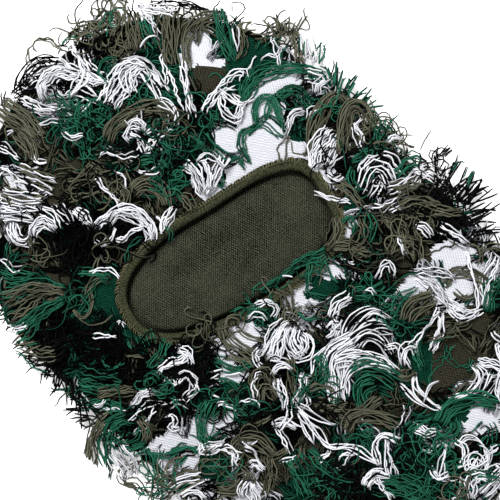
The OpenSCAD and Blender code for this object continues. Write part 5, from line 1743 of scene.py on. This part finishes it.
def make_hem_stitches():
    """The row of cover stitches along the hem's face."""
    threads = []
    y = HEM_FOLD_Y - 0.25
    for x in np.arange(-HALF_W + 4, HALF_W - 4, HEM_STITCH_PITCH):
        slope = float(HEAD_ROOM * smooth((1 - abs(x) / HALF_W) / DOME_SHARE))
        z = (LINING_FRONT_Z + FACE_Z) / 2 + slope
        threads.append(straight_yarn(
            [(x, y + 0.2, z), (x + 1.4, y, z), (x + 2.9, y + 0.2, z)], 0.35, 0.7,
        ))
    piece = tube_mesh("hem_stitches", threads, 6, spacing=1)
    return finish_piece(piece, "thread", "neck_hem_stitches")


# ---------------------------------------------------------------- stage
FLOOR_HALF = 3000.0
FLOOR_GLOW = 0.5         # light that the floor gives off, which keeps it white
SKY_STRENGTH = 0.32
CAMERA_HEIGHT = 1300.0   # above the hood's face


def make_floor():
    half = FLOOR_HALF
    mesh = bpy.data.meshes.new("floor")
    corners = [(-half * MM, -half * MM, 0), (half * MM, -half * MM, 0), (half * MM, half * MM, 0),
               (-half * MM, half * MM, 0)]
    mesh.from_pydata(corners, [], [(0, 1, 2, 3)])
    floor = bpy.data.objects.new("floor", mesh)
    bpy.context.scene.collection.objects.link(floor)
    shader = Shader("white_floor", roughness=0.8, specular=0.1)
    shader.surface.inputs["Base Color"].default_value = (0.95, 0.95, 0.95, 1)
    shader.surface.inputs["Emission Color"].default_value = (1, 1, 1, 1)
    shader.surface.inputs["Emission Strength"].default_value = FLOOR_GLOW
    mesh.materials.append(shader.material)


def make_camera():
    data = bpy.data.cameras.new("camera")
    data.sensor_width = 36
    data.lens = data.sensor_width * CAMERA_HEIGHT / VIEW_WIDE
    data.clip_end = 20
    camera = bpy.data.objects.new("camera", data)
    camera.location = (VIEW_AT[0] * MM, VIEW_AT[1] * MM, (CAMERA_HEIGHT + FACE_Z) * MM)
    camera.rotation_euler = (0, 0, VIEW_TURN)
    bpy.context.scene.collection.objects.link(camera)
    bpy.context.scene.camera = camera


def make_light(name, at, size, power):
    """A square soft light at a place given in the view's axes and height, aimed at the hood."""
    data = bpy.data.lights.new(name, "AREA")
    data.shape = "SQUARE"
    data.size = size
    data.energy = power
    light = bpy.data.objects.new(name, data)
    x, y = to_row(at[:2])
    light.location = (x * MM, y * MM, at[2] * MM)
    aim = -light.location.copy()
    light.rotation_euler = aim.to_track_quat("-Z", "Y").to_euler()
    bpy.context.scene.collection.objects.link(light)


def make_lights():
    world = bpy.data.worlds.new("studio")
    world.use_nodes = True
    world.node_tree.nodes["Background"].inputs["Color"].default_value = (1, 1, 1, 1)
    world.node_tree.nodes["Background"].inputs["Strength"].default_value = SKY_STRENGTH
    bpy.context.scene.world = world
    bpy.context.scene.view_settings.view_transform = "Standard"
    make_light("key", (-700, 1000, 1500), 0.7, 58)
    make_light("fill", (1000, -300, 1500), 1.2, 16)


make_camera()
make_lights()
make_floor()
sheets = make_cloth()
make_binding()
make_overlock()
make_seam()
make_hem()
make_hem_stitches()

fringe = Fringe(3)
lay_locks(fringe)
lay_edges(fringe)
lay_tufts(fringe)
fringe.shade()
lay_back(fringe)

for (region, colour), yarns in fringe.yarns.items():
    sides = 5 if colour == "white" and region != "back" else 4
    piece = tube_mesh(f"yarn_{region}_{colour}", yarns, sides, RING_SPACING[colour])
    finish_piece(piece, "yarn_" + colour, f"fringe_{region}_{colour}")
